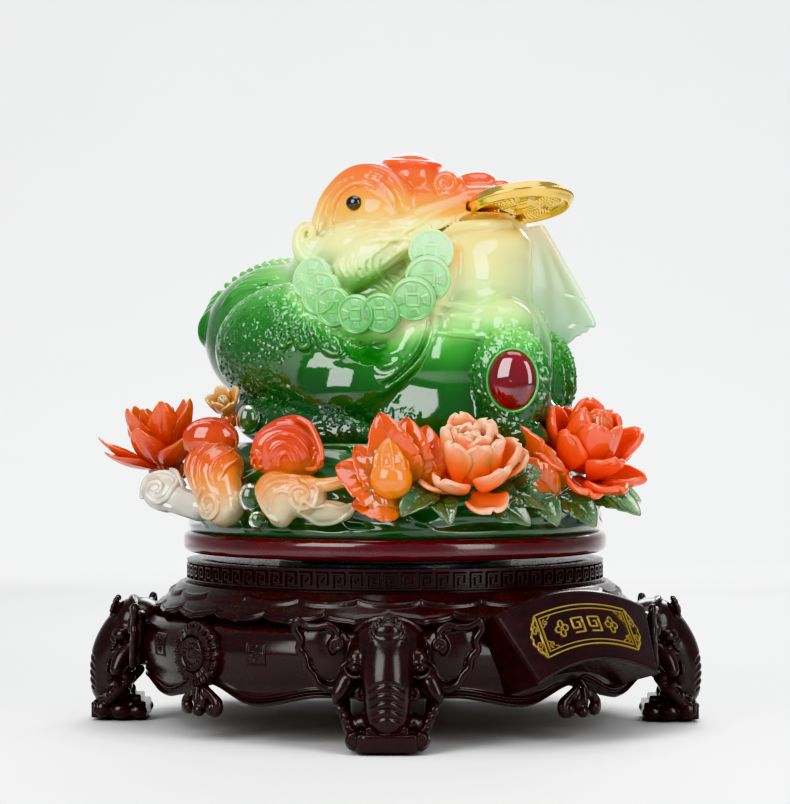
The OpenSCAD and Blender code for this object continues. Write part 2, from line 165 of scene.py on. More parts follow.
class Clay:
    """A grid of signed distances, in mm, that shapes are joined to and cut from."""

    def __init__(self, low, high, step):
        self.low, self.step = np.array(low, float), step * COARSE
        self.count = np.ceil((np.array(high) - self.low) / self.step).astype(int) + 1
        self.field = np.full(self.count, 1e3, np.float32)

    def window(self, low, high):
        a = np.clip(np.floor((np.array(low) - self.low) / self.step).astype(int), 0, self.count)
        b = np.clip(np.ceil((np.array(high) - self.low) / self.step).astype(int) + 1, 0, self.count)
        spans = tuple(slice(i, j) for i, j in zip(a, b))
        axes = [(self.low[i] + self.step * np.arange(a[i], b[i])).astype(np.float32) for i in range(3)]
        x, y, z = np.meshgrid(*axes, indexing="ij", sparse=True)
        return spans, x, y, z

    def mix(self, shape, blend, keep):
        low, high, distance = shape
        margin = max(4.0, 2 * blend, 3 * self.step)
        spans, x, y, z = self.window(np.array(low) - margin, np.array(high) + margin)
        if any(s.stop <= s.start for s in spans):
            return
        self.field[spans] = keep(self.field[spans], distance(x, y, z).astype(np.float32), max(blend, 1e-3))

    def join(self, shape, blend=0.0):
        def union(a, b, k):
            h = np.clip(0.5 + 0.5 * (a - b) / k, 0, 1)
            return a + (b - a) * h - k * h * (1 - h)
        self.mix(shape, blend, union)

    def cut(self, shape, blend=0.0):
        def difference(a, b, k):
            h = np.clip(0.5 + 0.5 * (-b - a) / k, 0, 1)
            return a + (-b - a) * h + k * h * (1 - h)
        self.mix(shape, blend, difference)

    def shift(self, low, high, amount):
        """Moves the surface in or out by amount(x, y, z) inside a window."""
        spans, x, y, z = self.window(low, high)
        self.field[spans] -= amount(x, y, z).astype(np.float32)

    def depth_at(self, points):
        """Signed distance at free points, read between the grid's corners."""
        at = np.clip((points - self.low) / self.step, 0, self.count - 1.001)
        base = at.astype(int)
        part = at - base
        total = 0.0
        for corner in [(i, j, k) for i in (0, 1) for j in (0, 1) for k in (0, 1)]:
            weight = np.prod(np.where(corner, part, 1 - part), axis=-1)
            total = total + weight * self.field[tuple(np.moveaxis(base + corner, -1, 0))]
        return total

    def hug(self, line, way, lift=0.0, reach=40.0):
        """Moves a line's points along a direction until they lie evenly on the surface."""
        way = np.array(way, float) / np.linalg.norm(way)
        line = np.array(line, float)
        t = np.arange(reach, -reach, -0.5)
        under = self.depth_at(line[:, None] + way * t[None, :, None]) < 0
        found = under.any(axis=1)
        moves = np.where(found, t[under.argmax(axis=1)], 0.0)
        at = line + way * moves[:, None]
        moves = moves + np.where(found, self.depth_at(at), 0.0)
        if found.any():
            moves = np.interp(np.arange(len(line)), np.flatnonzero(found), moves[found])
        for _ in range(4):
            moves = np.convolve(np.pad(moves, 1, mode="edge"), [0.25, 0.5, 0.25], "valid")
        return line + way * (moves + lift)[:, None]

    def mirrored(self):
        """The same clay with its half at y > 0 copied to y < 0. The grid starts at y = 0."""
        other = Clay.__new__(Clay)
        other.step = self.step
        other.field = np.concatenate([self.field[:, :0:-1], self.field], axis=1)
        other.low = self.low - [0, self.step * (self.field.shape[1] - 1), 0]
        other.count = np.array(other.field.shape)
        return other

    def skin(self):
        """Surface net: one point in each cell the surface passes through."""
        f = np.pad(self.field, 1, constant_values=10.0)
        low = self.low - self.step
        inside = f < 0
        corners = [(i, j, k) for i in (0, 1) for j in (0, 1) for k in (0, 1)]
        n = np.array(f.shape) - 1

        def at(grid, c):
            return grid[c[0]:c[0] + n[0], c[1]:c[1] + n[1], c[2]:c[2] + n[2]]
        total = sum(at(inside, c).astype(np.int8) for c in corners)
        cells = np.argwhere((total > 0) & (total < 8))
        index = np.full(n, -1, np.int64)
        index[tuple(cells.T)] = np.arange(len(cells))
        place, hits = np.zeros((len(cells), 3)), np.zeros((len(cells), 1))
        for axis in range(3):
            step = np.eye(3, dtype=int)[axis]
            for c in corners:
                if c[axis]:
                    continue
                a = cells + c
                fa, fb = f[tuple(a.T)], f[tuple((a + step).T)]
                crossing = ((fa < 0) != (fb < 0))[:, None]
                t = (fa / np.where(fa == fb, 1, fa - fb))[:, None]
                place += np.where(crossing, a + t * step, 0)
                hits += crossing
        points = low + self.step * place / np.maximum(hits, 1)
        faces = []
        for axis in range(3):
            u, v = [(1, 2), (2, 0), (0, 1)][axis]
            step, du, dv = np.eye(3, dtype=int)[axis], np.eye(3, dtype=int)[u], np.eye(3, dtype=int)[v]
            trim = [slice(1, s - 1) for s in f.shape]
            first = inside[tuple(trim)]
            second = inside[tuple(slice(t.start + step[i], t.stop + step[i]) for i, t in enumerate(trim))]
            edge = np.argwhere(first != second) + 1
            quad = np.stack([index[tuple((edge - o).T)] for o in (du * 0, du, du + dv, dv)], -1)
            out = first[tuple((edge - 1).T)]
            quad[~out] = quad[~out][:, ::-1]
            faces.append(quad)
        return points, np.vstack(faces)


def egg(centre, radii, turn=None):
    """Ellipsoid. turn is a rotation matrix for its own axes."""
    c, r = np.array(centre, float), np.array(radii, float)
    reach = np.full(3, r.max()) if turn is not None else r

    def distance(x, y, z):
        x, y, z = x - c[0], y - c[1], z - c[2]
        if turn is not None:
            x, y, z = [turn[0, i] * x + turn[1, i] * y + turn[2, i] * z for i in range(3)]
        k0 = np.sqrt((x / r[0]) ** 2 + (y / r[1]) ** 2 + (z / r[2]) ** 2)
        k1 = np.sqrt((x / r[0] ** 2) ** 2 + (y / r[1] ** 2) ** 2 + (z / r[2] ** 2) ** 2)
        return k0 * (k0 - 1) / np.maximum(k1, 1e-6)
    return c - reach, c + reach, distance


def below(height, low, high):
    """Everything under a height, inside a window."""
    return low, high, lambda x, y, z: z - height + 0 * x + 0 * y


def cone(a, b, ra, rb):
    """Round-ended limb from a to b, with its radius changing from ra to rb."""
    a, b = np.array(a, float), np.array(b, float)
    d = b - a
    size = max(d @ d, 1e-9)

    def distance(x, y, z):
        px, py, pz = x - a[0], y - a[1], z - a[2]
        h = np.clip((px * d[0] + py * d[1] + pz * d[2]) / size, 0, 1)
        away = np.sqrt((px - h * d[0]) ** 2 + (py - h * d[1]) ** 2 + (pz - h * d[2]) ** 2)
        return away - (ra + h * (rb - ra))
    r = max(ra, rb)
    return np.minimum(a, b) - r, np.maximum(a, b) + r, distance


def curve(points, n=24):
    """Smooth line through given points (Catmull-Rom)."""
    p = np.array(points, float)
    p = np.vstack([2 * p[0] - p[1], p, 2 * p[-1] - p[-2]])
    t = np.linspace(0, len(p) - 3 - 1e-9, n)
    i = t.astype(int)
    s = (t - i)[:, None]
    a, b, c, d = p[i], p[i + 1], p[i + 2], p[i + 3]
    return 0.5 * (2 * b + (c - a) * s + (2 * a - 5 * b + 4 * c - d) * s ** 2 + (3 * b - a - 3 * c + d)
                  * s ** 3)


def add_tube(clay, points, radii, blend=1.0, n=20, cut=False):
    """Joins a strand along a smooth line. radii are spread evenly along it."""
    line = curve(points, n)
    r = np.interp(np.linspace(0, 1, n), np.linspace(0, 1, len(radii)), radii)
    act = clay.cut if cut else clay.join
    for i in range(n - 1):
        act(cone(line[i], line[i + 1], r[i], r[i + 1]), blend)


# the viewer's side, in the toad's own axes
SEEN_X, SEEN_Y = 0.454, 0.891


def as_seen(x, z, depth):
    """Point that appears at (across, up) from the viewer's side, depth mm out to the toad's right."""
    return (x + SEEN_X * depth) / SEEN_Y, depth, z


def etched(clay, line, radii, blend=0.3, n=30, cut=False, lift=0.2):
    """Strand on the surface along points of (across, up), as they appear to the viewer."""
    points = [as_seen(x, z, 40.0) for x, z in curve([(x, 0, z) for x, z in line], n)[:, [0, 2]]]
    add_tube(clay, clay.hug(points, (SEEN_X, SEEN_Y, 0.0), lift), radii, blend, n, cut)


def spiral(centre, across, along, r0, r1, start, sweep, n=9):
    """Points of a flat spiral in the plane of two directions."""
    t = np.linspace(0, 1, n)[:, None]
    a = np.radians(start + sweep * t)
    r = r0 + (r1 - r0) * t
    return np.array(centre) + r * (np.cos(a) * np.array(across) + np.sin(a) * np.array(along))


def grains(x, y, z, pitch):
    """Uneven bumps about pitch apart, from 0 to 1."""
    w = 2 * math.pi / pitch
    wx = x + 0.35 * pitch * np.sin(w * 0.43 * y + 1.3) + 0.2 * pitch * np.sin(w * 0.71 * z)
    wy = y + 0.35 * pitch * np.sin(w * 0.37 * z + 0.4) + 0.2 * pitch * np.sin(w * 0.67 * x)
    wz = z + 0.35 * pitch * np.sin(w * 0.41 * x + 2.1) + 0.2 * pitch * np.sin(w * 0.73 * y)
    s = np.sin(w * wx) * np.cos(w * wy) + np.sin(w * wy) * np.cos(w * wz) + np.sin(w * wz) * np.cos(w * wx)
    return np.clip(0.5 + 0.4 * s, 0, 1)


# ---------------------------------------------------------------- materials

class Nodes:
    """Small help for writing node trees."""

    def __init__(self, name):
        self.material = bpy.data.materials.new(name)
        self.material.use_nodes = True
        self.tree = self.material.node_tree
        self.shader = self.tree.nodes["Principled BSDF"]

    def add(self, kind, **values):
        node = self.tree.nodes.new(kind)
        for key, value in values.items():
            if hasattr(node, key):
                setattr(node, key, value)
            else:
                node.inputs[key.replace("_", " ")].default_value = value
        return node

    def link(self, a, b):
        self.tree.links.new(a, b)

    def set(self, **values):
        for key, value in values.items():
            self.shader.inputs[key.replace("_", " ")].default_value = value

    def position(self, offset=(0, 0, 0), turn=0.0, scale=(1, 1, 1)):
        """Object coordinates, moved and turned about Z."""
        where = self.add("ShaderNodeTexCoord").outputs["Object"]
        mapping = self.add("ShaderNodeMapping")
        mapping.inputs["Location"].default_value = offset
        mapping.inputs["Rotation"].default_value = (0, 0, turn)
        mapping.inputs["Scale"].default_value = scale
        self.link(where, mapping.inputs["Vector"])
        return mapping.outputs["Vector"]

    def noise(self, scale, detail=3.0, vector=None, rough=0.5):
        node = self.add("ShaderNodeTexNoise")
        node.inputs["Scale"].default_value = scale
        node.inputs["Detail"].default_value = detail
        node.inputs["Roughness"].default_value = rough
        self.link(vector if vector is not None else self.position(), node.inputs["Vector"])
        return node.outputs["Fac"]

    def math(self, operation, a, b=0.0, clamp=False):
        node = self.add("ShaderNodeMath", operation=operation)
        node.use_clamp = clamp
        for socket, value in zip(node.inputs, (a, b)):
            if isinstance(value, (int, float)):
                socket.default_value = value
            else:
                self.link(value, socket)
        return node.outputs[0]

    def ramp(self, fac, stops, mode="LINEAR"):
        node = self.add("ShaderNodeValToRGB")
        node.color_ramp.interpolation = mode
        items = node.color_ramp.elements
        while len(items) < len(stops):
            items.new(0.5)
        for item, (at, colour) in zip(items, stops):
            item.position = at
            item.color = (*colour, 1) if len(colour) == 3 else colour
        self.link(fac, node.inputs[0])
        return node.outputs[0]

    def blend(self, fac, a, b):
        node = self.add("ShaderNodeMix", data_type="RGBA")
        for socket, value in zip((node.inputs[0], node.inputs[6], node.inputs[7]), (fac, a, b)):
            if hasattr(value, "is_output"):
                self.link(value, socket)
            else:
                socket.default_value = value if isinstance(value, float) else (*value, 1)
        return node.outputs[2]

    def bump(self, height, strength, distance):
        node = self.add("ShaderNodeBump")
        node.inputs["Strength"].default_value = strength
        node.inputs["Distance"].default_value = distance
        self.link(height, node.inputs["Height"])
        self.link(node.outputs[0], self.shader.inputs["Normal"])

    def mottled(self, scale, detail, dark, bright):
        """Colour that drifts between two shades."""
        self.colour(self.ramp(self.noise(scale, detail), [(0.3, dark), (0.7, bright)]))

    def uneven(self, scale, detail, low, high):
        """Roughness that drifts between two values."""
        self.roughness(self.ramp(self.noise(scale, detail), [(0.3, (low,) * 3), (0.7, (high,) * 3)]))

    def clouded(self, scale, detail, amount):
        """Soft patches around zero, for adding to a measure."""
        return self.math("MULTIPLY", self.math("SUBTRACT", self.noise(scale, detail), 0.5), amount)

    def by_level(self, level, levels, low, high):
        """Colour from (measure, colour) pairs along a measure that runs from low to high."""
        fac = self.math("DIVIDE", self.math("SUBTRACT", level, low), high - low, clamp=True)
        self.colour(self.ramp(fac, [((at - low) / (high - low), colour) for at, colour in levels]))

    def colour(self, output):
        self.link(output, self.shader.inputs["Base Color"])

    def roughness(self, output):
        self.link(output, self.shader.inputs["Roughness"])


def translucent(m, radius=(1.0, 0.6, 0.4), depth=0.012, weight=0.6, rough=0.12, coat=0.6):
    """Polished resin that light gets into."""
    m.set(Roughness=rough, IOR=1.52)
    m.set(Subsurface_Weight=weight, Subsurface_Scale=depth)
    m.shader.inputs["Subsurface Radius"].default_value = radius
    m.set(Coat_Weight=coat, Coat_Roughness=0.04)


def jade_material():
    """Green at the bottom, through pale yellow, to orange at the top. The back stays green higher up."""
    m = Nodes("jade_resin")
    z = m.add("ShaderNodeSeparateXYZ")
    m.link(m.position(), z.inputs[0])
    pale = m.add("ShaderNodeAttribute")
    pale.attribute_name = "pale"
    level = m.math("ADD", z.outputs[2], pale.outputs["Fac"])
    level = m.math("ADD", level, m.clouded(22, 2.0, 0.035))
    m.by_level(level, [
        (0.145, (0.002, 0.036, 0.003)), (0.172, (0.004, 0.085, 0.004)), (0.190, (0.010, 0.165, 0.009)),
        (0.203, (0.050, 0.320, 0.036)), (0.213, (0.200, 0.520, 0.130)), (0.224, (0.430, 0.660, 0.280)),
        (0.236, (0.640, 0.710, 0.400)), (0.252, (0.760, 0.680, 0.340)), (0.264, (0.860, 0.480, 0.090)),
        (0.277, (0.880, 0.230, 0.014)), (0.291, (0.790, 0.090, 0.004)),
    ], 0.14, 0.31)
    translucent(m, radius=(1.0, 0.8, 0.35), depth=0.006, weight=0.5, rough=0.07, coat=1.0)
    m.bump(m.noise(900, 2.0), 0.05, 0.0004)
    return m.material


def simple_resin(name, levels, low, high, depth=0.008, rough=0.12, wave=0.02, clear=0.0):
    """Resin that shades from one colour to another along Z, with cloudy patches."""
    m = Nodes(name)
    split = m.add("ShaderNodeSeparateXYZ")
    m.link(m.position(), split.inputs[0])
    m.by_level(m.math("ADD", split.outputs[2], m.clouded(45, 2.0, wave)), levels, low, high)
    translucent(m, radius=(1.0, 0.45, 0.25), depth=depth, rough=rough, coat=1.0)
    if clear:
        m.set(Transmission_Weight=clear)
    m.bump(m.noise(700, 2.0), 0.06, 0.0004)
    return m.material


def cast(clay, name, slot, material, *nodes):
    """Piece made of a clay's skin, on the turntable."""
    return placed(new_mesh(name, *clay.skin()), "turntable", slot, material, *nodes)


def add_eggs(clay, eggs):
    """Joins ellipsoids, each as (centre, radii, blend)."""
    for centre, radii, blend in eggs:
        clay.join(egg(centre, radii), blend)


# ---------------------------------------------------------------- toad

TOAD_STEP = 1.1          # grid pitch of the toad's clay

# middle line of the raised band under the coin string, in the toad's own axes
COIN_BAND = [(48, 38, 244), (46, 42, 231), (39, 45, 220), (24, 47, 213), (9, 49, 211.5), (-4, 49, 214.5),
             (-14, 47, 222), (-22, 42, 231)]


def sculpt_toad():
    """The toad's symmetric half, in forward (x), right side (y) and up (z)."""
    clay = Clay((-128, 0, MOUND_TOP - 4), (112, 82, 306), TOAD_STEP)
    # trunk of the body
    add_eggs(clay, [
        ((-66, 0, 204), (48, 40, 41), 0),
        ((-10, 0, 198), (62, 48, 46), 14),
        ((34, 0, 190), (55, 49, 54), 12),
        ((5, 0, 160), (92, 56, 26), 10),
    ])
    # neck and throat
    add_eggs(clay, [
        ((-14, 0, 240), (44, 44, 27), 10),
        ((43, 0, 236), (34, 40, 36), 5),
        ((50, 0, 250), (28, 30, 16), 3),
    ])
    # head
    add_eggs(clay, [
        ((8, 0, 260), (38, 38, 22), 5),
        ((38, 0, 271), (36, 28, 13), 4),
        ((56, 0, 276), (17, 23, 7), 3),
        ((-6, 30, 250), (20, 18, 16), 6),
    ])
    # eye domes: a broad rolled rim with a fine line on it, an inner line and the curl behind
    clay.join(egg((-5, 17, 268), (28, 17, 24.5)), 2)
    clay.join(egg((0, 23, 268), (19, 12.5, 16)), 2)
    rim = [(-28, 35, 244), (-31, 30, 254), (-30.5, 26, 266), (-26, 23.5, 278), (-16, 22.5, 287.5),
           (-4, 22, 290.5),
           (9, 23, 287), (18, 26, 278), (24, 30, 267)]
    add_tube(clay, rim, (4.2, 4.4, 4.6, 4.6, 4.4, 3.8, 2.4), 1.4, 36)
    inner = [(-33, 257), (-33.4, 267), (-30.5, 277), (-23.5, 283), (-17, 284), (-8.7, 281), (-2, 273),
             (3, 263)]
    outer = [(-41, 256), (-40, 267), (-36, 277), (-28, 285.5), (-17.5, 288.5), (-7, 286.2), (1, 279),
             (6.5, 266)]
    etched(clay, [(x + 1.6, z - 0.8) for x, z in inner], (0.8, 1.6, 1.6, 1.6, 1.2), 0.8, 36, True)
    etched(clay, inner, (0.8, 1.3, 1.4, 1.3, 0.8), 0.3, 36, lift=0.5)
    etched(clay, outer, (0.6, 1.1, 1.2, 1.1, 0.6), 0.3, 40, lift=0.4)
    add_tube(clay, [(-22, 38, 246), (-28, 40, 243.5), (-33, 40, 246), (-36, 39.5, 252), (-35.5, 39, 258.5),
                    (-32, 38.5, 262), (-28.5, 39, 260), (-28.5, 40, 256)],
                    (3.6, 4.0, 4.2, 3.8, 3.0, 2.3, 1.9, 1.5), 1.0, 36)
    clay.join(egg((-29, 37, 251), (6, 4, 6)), 1.5)
    # crown knob under its ringed disc
    clay.join(cone((13, 0, 264), (11, 0, 287), 9.5, 14.6), 2.5)
    clay.join(egg((10.5, 0, 294.5), (15.0, 15.0, 6.6), turned("y", 4)), 0.8)
    ring = [(10.5 + 14.6 * math.cos(a), 14.6 * math.sin(a), 295.6 - 1.0 * math.cos(a))
            for a in np.radians(np.linspace(-20, 200, 16))]
    add_tube(clay, ring, (1.6, 1.6), 0.4, 40)
    # nose: nostril scrolls and two bumps
    clay.join(egg((43, 18, 281), (8, 5, 7)), 1.5)
    add_tube(clay, spiral((43, 23.0, 282.5), (1, -0.25, 0), (0, 0, 1), 6.2, 1.2, 230, -560, 16),
             (1.6, 2.0, 1.7, 1.1), 0.5, 48)
    add_tube(clay, [(34, 21, 279), (46, 20.5, 275), (58, 17, 276), (66, 10, 279)], (1.6, 2.2, 2.4, 1.8), 1.2)
    clay.join(egg((49, 0, 283.5), (12, 10, 7)), 2)
    clay.join(egg((63, 0, 281), (6.5, 7, 4.6)), 1.5)
    # lips: a full cheek that sweeps from the coin to the mouth corner, fluted by long strands
    line = curve([(62, 9, 272), (48, 21, 267), (32, 31, 260), (14, 38, 250), (0, 43, 239), (-10, 45, 230)], 9)
    reach = np.interp(np.linspace(0, 1, 9), [0, 0.3, 0.7, 1], [6.5, 9.5, 10.5, 7])
    add_tube(clay, line, reach, 3, 20)
    upper = np.array([(58, 277), (41, 273.5), (26.5, 267), (11.5, 258.5), (-4, 248.5), (-16, 240),
                      (-24, 233)])
    lower = np.array([(44, 268), (37, 265.5), (27.5, 261), (16, 254.5), (4.5, 246), (-6, 238), (-17, 231.5)])
    for k in (0.0, 0.28, 0.52, 0.76, 1.0):
        etched(clay, upper + k * (lower - upper), (0.6, 1.4, 1.7, 1.7, 0.8), 0.25, 34, lift=0.8)
    for k in (0.14, 0.40, 0.64):
        etched(clay, upper + k * (lower - upper), (0.3, 1.1, 1.4, 1.3, 0.4), 0.4, 34, True)
    add_tube(clay, [(22, 38, 262), (6, 41, 256), (-10, 42, 250), (-24, 40, 247)],
             (2.0, 4.6, 4.6, 2.0), 1.5, 24)
    add_tube(clay, [(26, 37, 266), (8, 42, 261.5), (-10, 42.5, 255), (-22, 41, 251)],
             (1.0, 1.5, 1.5, 0.8), 0.5, 26)
    add_tube(clay, [(70, 4, 262), (66, 20, 261), (54, 31, 259), (40, 38, 252)], (2.2, 2.6, 2.4, 1.2), 1.2, 22)
    for lift in (0, 4.5, 9):
        etched(clay, [(-31 + lift, 258.5 - lift), (-18 + lift, 261.5 - lift),
                      (-4 + 0.6 * lift, 262 - lift), (9 + 0.3 * lift, 264 - 1.2 * lift)],
               (0.6, 1.4, 1.5, 0.6), 0.25, 26, lift=0.7)
    # comb-like strands at the cheek's end and under its edge
    for i in range(6):
        etched(clay, [(-25 + 3.6 * i, 246 - 0.4 * i), (-27 + 3.9 * i, 240 - 0.6 * i),
                      (-24 + 4.1 * i, 233.5 - 0.3 * i)], (0.5, 1.5, 0.7), 0.25, 14, lift=0.7)
    for i in range(6):
        etched(clay, [(-12 + 4.6 * i, 231 + 2.4 * i), (-6 + 4.5 * i, 228 + 2.5 * i),
                      (-3 + 4.3 * i, 223.5 + 2.4 * i)], (0.5, 1.4, 0.6), 0.25, 14, lift=0.7)
    # rounded band that the coin string lies on
    add_tube(clay, COIN_BAND, (8.5, 10, 10.5, 11.5, 12, 11, 10, 8), 2, 32)
    # folds under the chin
    for z, dip, thick in ((219.5, 4.0, 2.0), (214.0, 4.0, 1.6), (204.5, 3.0, 2.0)):
        etched(clay, [(21, z + 0.5), (32, z - 1), (43, z - dip + 1), (53, z - dip), (61, z - dip + 1)],
               (0.8, thick, thick, thick, 0.8), 0.6, 34)
    # crescent flap between the belly and the haunch, with the ribs it covers
    crescent = [(22, 216), (20.5, 204), (15, 192), (4, 181), (-9, 172.5)]
    for i in range(6):
        rib = ((13 - 2.5 * i, 205 - 3 * i), (4 - 2.5 * i, 186 - 1.5 * i))
        ends = [as_seen(x, z - 1.5 * i, 44.0) for x, z in rib]
        clay.join(cone(*[np.add(end, (0, 0.6 * i, 0)) for end in ends], 9.5, 7), 2)
    etched(clay, crescent, (1.0, 1.6, 1.8, 1.8, 0.8), 0.5, 36, lift=0.4)
    etched(clay, [(x - 2.6, z + 0.6) for x, z in crescent], (0.5, 1.2, 1.4, 1.2, 0.5), 0.5, 36, True)
    etched(clay, [(x - 4.6, z + 1.2) for x, z in crescent], (0.6, 1.1, 1.2, 1.1, 0.6), 0.4, 36)
    for i in range(4):
        etched(clay, [(-12 + 0.5 * i, 196 - 6.2 * i), (-4, 193.5 - 6.2 * i),
                      (5 - 1.5 * i, 195.5 - 5.6 * i)], (0.5, 1.7, 0.5), 0.6, 18)
    # haunch, its lower fold and the hind foot
    clay.join(egg((-36, 42, 197), (48, 26, 35)), 3)
    clay.join(egg((-6, 50, 176), (30, 17, 22)), 5)
    add_tube(clay, [(-60, 50, 162), (-34, 63, 156), (-8, 67, 153), (16, 68, 152)], (9, 10, 9, 7), 5, 24)
    for i in range(4):
        toe = (26 + 2 * i, 58 + 6 * i, 151)
        add_tube(clay, [(4, 63, 156 - i), (16, 60 + 4 * i, 154), toe], (4.5, 4.2, 3.2), 1.2, 14)
    # three drips with raised outlines on the haunch
    for outline in ([(-66, 222), (-62, 214), (-60, 205), (-57.5, 198.5), (-54.5, 200), (-55.5, 208)],
                    [(-54, 214), (-52, 207), (-49, 199.5), (-45.5, 196.5), (-43.5, 199.5), (-45.5, 206.5),
                     (-46, 213)],
                    [(-41, 211), (-39, 204), (-35.5, 196.5), (-29.5, 193.5), (-26, 196), (-28, 201)]):
        etched(clay, outline, (0.8, 1.5, 1.7, 1.6, 0.8), 0.25, 34, lift=1.1)
    # spine beads, side ridges and the curled tail
    for i in range(15):
        u = -40 - 5.0 * i
        clay.join(egg((u, 0, 204 + 41.5 * math.sqrt(max(0, 1 - ((u + 66) / 48) ** 2))), (3.0, 3.4, 2.8)), 0.6)
        clay.join(egg((u, 8, 203 + 40.5 * math.sqrt(max(0, 1 - ((u + 66) / 50) ** 2))), (2.4, 2.2, 2.2)), 0.5)
    for i in range(4):
        add_tube(clay, [(-52 - 3 * i, 17 + 4.5 * i, 241 - 2.6 * i),
                        (-76 - 2 * i, 17 + 4.5 * i, 238.5 - 3.6 * i), (-97 + i, 14 + 4.5 * i, 225 - 5 * i),
                        (-107 + 2 * i, 10 + 4 * i, 208 - 5 * i)], (0.8, 2.0, 2.0, 0.8), 0.6, 26)
    for i in range(4):
        add_tube(clay, [(-92, 4 + 4 * i, 230 - 2 * i), (-107, 5 + 4 * i, 225 - 4 * i),
                        (-110 + i, 5 + 4 * i, 215 - 4 * i),
                        (-100 + i, 4 + 3 * i, 207 - 3 * i)], (3.0, 4.4, 4.2, 2.0), 0.7, 20)
    return clay


STONE_Z = 180.0
STONE_SIDES = ((1, 90.0), (-1, 74.0))      # the far stone sits a little further back
STONE_YAW = 16.0                           # degrees that the stones look forwards


def fore_leg(clay, side, forward):
    """Shoulder, leg and foot, with the raised pad around the stone."""
    clay.join(egg((forward - 8, side * 27, 178), (20, 17, 28)), 3)
    clay.join(egg((forward - 12, side * 22, 206), (14, 16, 16)), 8)
    add_tube(clay, [(forward - 10, side * 30, 162), (forward - 2, side * 33, 153),
                    (forward + 10, side * 34, 150)], (13, 9, 5), 4, 16)
    for i in range(3):
        add_tube(clay, [(forward, side * (30 + 3 * i), 153), (forward + 11, side * (27 + 6 * i), 150.5)],
                 (4, 2.6), 1, 6)
    turn = turned("z", -side * STONE_YAW)
    clay.join(egg((forward - 2.5, side * 37.5, STONE_Z + 1), (20.5, 7.0, 25.5), turn), 2.5)


def haunch_skin(clay):
    """Fine grains over the haunch, left smooth in its middle."""
    def amount(x, y, z):
        across = np.sqrt(((x + 34) / 50) ** 2 + ((z - 197) / 39) ** 2)
        on_haunch = smooth_step((1.0 - across) * 6) * smooth_step((np.abs(y) - 34) / 8)
        calm = smooth_step((1.05 - np.sqrt(((x + 9) / 25) ** 2 + ((z - 181) / 17) ** 2)) * 5)
        return on_haunch * 1.5 * (1 - 0.92 * calm) * (grains(x, y, z, 3.3) - 0.4)
    clay.shift((-90, 25, 155), (20, 82, 240), amount)


def knobs_skin(clay, side, forward):
    """Coarser knobs on the pad around a stone, and on the hind foot."""
    def pad(x, y, z):
        near = smooth_step((1.12 - np.sqrt(((x - forward) / 23) ** 2 + ((z - STONE_Z) / 28) ** 2)) * 7)
        return near * smooth_step((np.abs(y) - 24) / 8) * 1.5 * (grains(x, y, z, 4.3) - 0.45)

    def foot(x, y, z):
        near = smooth_step((170 - z) / 6) * smooth_step((x + 14) / 6)
        return near * 1.2 * (grains(x, y, z, 4.4) - 0.5)
    low, high = sorted((side * 15, side * 60))
    clay.shift((60, low, 148), (114, high, 212), pad)
    low, high = sorted((side * 52, side * 82))
    clay.shift((-14, low, 148), (42, high, 176), foot)


def toad_piece(material):
    half = sculpt_toad()
    haunch_skin(half)
    half.cut(egg((-6, 37.0, 273.5), (5.4, 4.5, 5.0)), 0.6)
    clay = half.mirrored()
    for side, forward in STONE_SIDES:
        fore_leg(clay, side, forward)
        knobs_skin(clay, side, forward)
        turn = turned("z", -side * STONE_YAW)
        clay.cut(egg((forward, side * 44.5, STONE_Z), (13.2, 7, 16.2), turn), 0.5)
    # mouth slot: the coin's own plane, swept forward with some room
    centre, slide, side, normal = coin_frame()
    local = [np.array([v @ FORWARD, v @ RIGHT, v[2]]) for v in (centre, slide, side, normal)]
    clay.cut(slot_shape(*local), 0.2)
    # flat underside on the mound
    sunk = MOUND_TOP - 3
    clay.cut(below(sunk, (-130, -90, MOUND_TOP - 10), (130, 90, sunk)))
    points, faces = clay.skin()
    piece = new_mesh("toad_casting", toad_world(points), faces[:, ::-1])
    layer = piece.data.attributes.new("pale", "FLOAT", "POINT")
    layer.data.foreach_set("value", pale_shift(points).astype(np.float32))
    return placed(piece, "turntable", "jade_resin", material, "toad")


def pale_shift(points):
    """How much higher or lower, in metres, each point is in the colour range than in space."""
    u, v, z = points.T
    back = 0.20 * np.clip(u - 45, -130, 15)
    throat = smooth_step((u - 12) / 22) * smooth_step((271 - 0.12 * np.abs(v) - z) / 7)
    pale = np.interp(z, [150, 180, 202, 214, 262, 272], [150, 182, 208, 226, 251, 260]) - z
    band = curve(COIN_BAND, 24)
    near = np.min([(u - p[0]) ** 2 + (np.abs(v) - p[1] - 6) ** 2 + (z - p[2] + 3) ** 2 for p in band], axis=0)
    return (back * (1 - throat) + pale * throat + 17 * smooth_step(1.45 - np.sqrt(near) / 13)) / 1000


def coin_frame():
    """Centre of the mouth coin, its sliding direction, the other direction in its plane, and its normal."""
    co = np.array([v.co for v in frame["nodes"]["mouth_coin"].data.vertices], float) / MM
    centre = (co.min(0) + co.max(0)) / 2
    slide = COIN_AXIS / np.linalg.norm(COIN_AXIS)
    # the coin is thinnest along its normal, which is the least principal direction of its points
    spread = np.linalg.eigh(np.cov((co - co.mean(0)).T))[1]
    normal = spread[:, 0] * np.sign(spread[2, 0])
    slide = slide - normal * (slide @ normal)
    slide /= np.linalg.norm(slide)
    return centre, slide, np.cross(normal, slide), normal


COIN_R = 28.0
COIN_T = 4.0
COIN_RINGS = 60          # rings of points from the coin's hole to its edge
MILLING = 0.25           # depth of the notches around its edge
SLOT_ROOM = 0.6          # room around the coin's flat outline in its slot


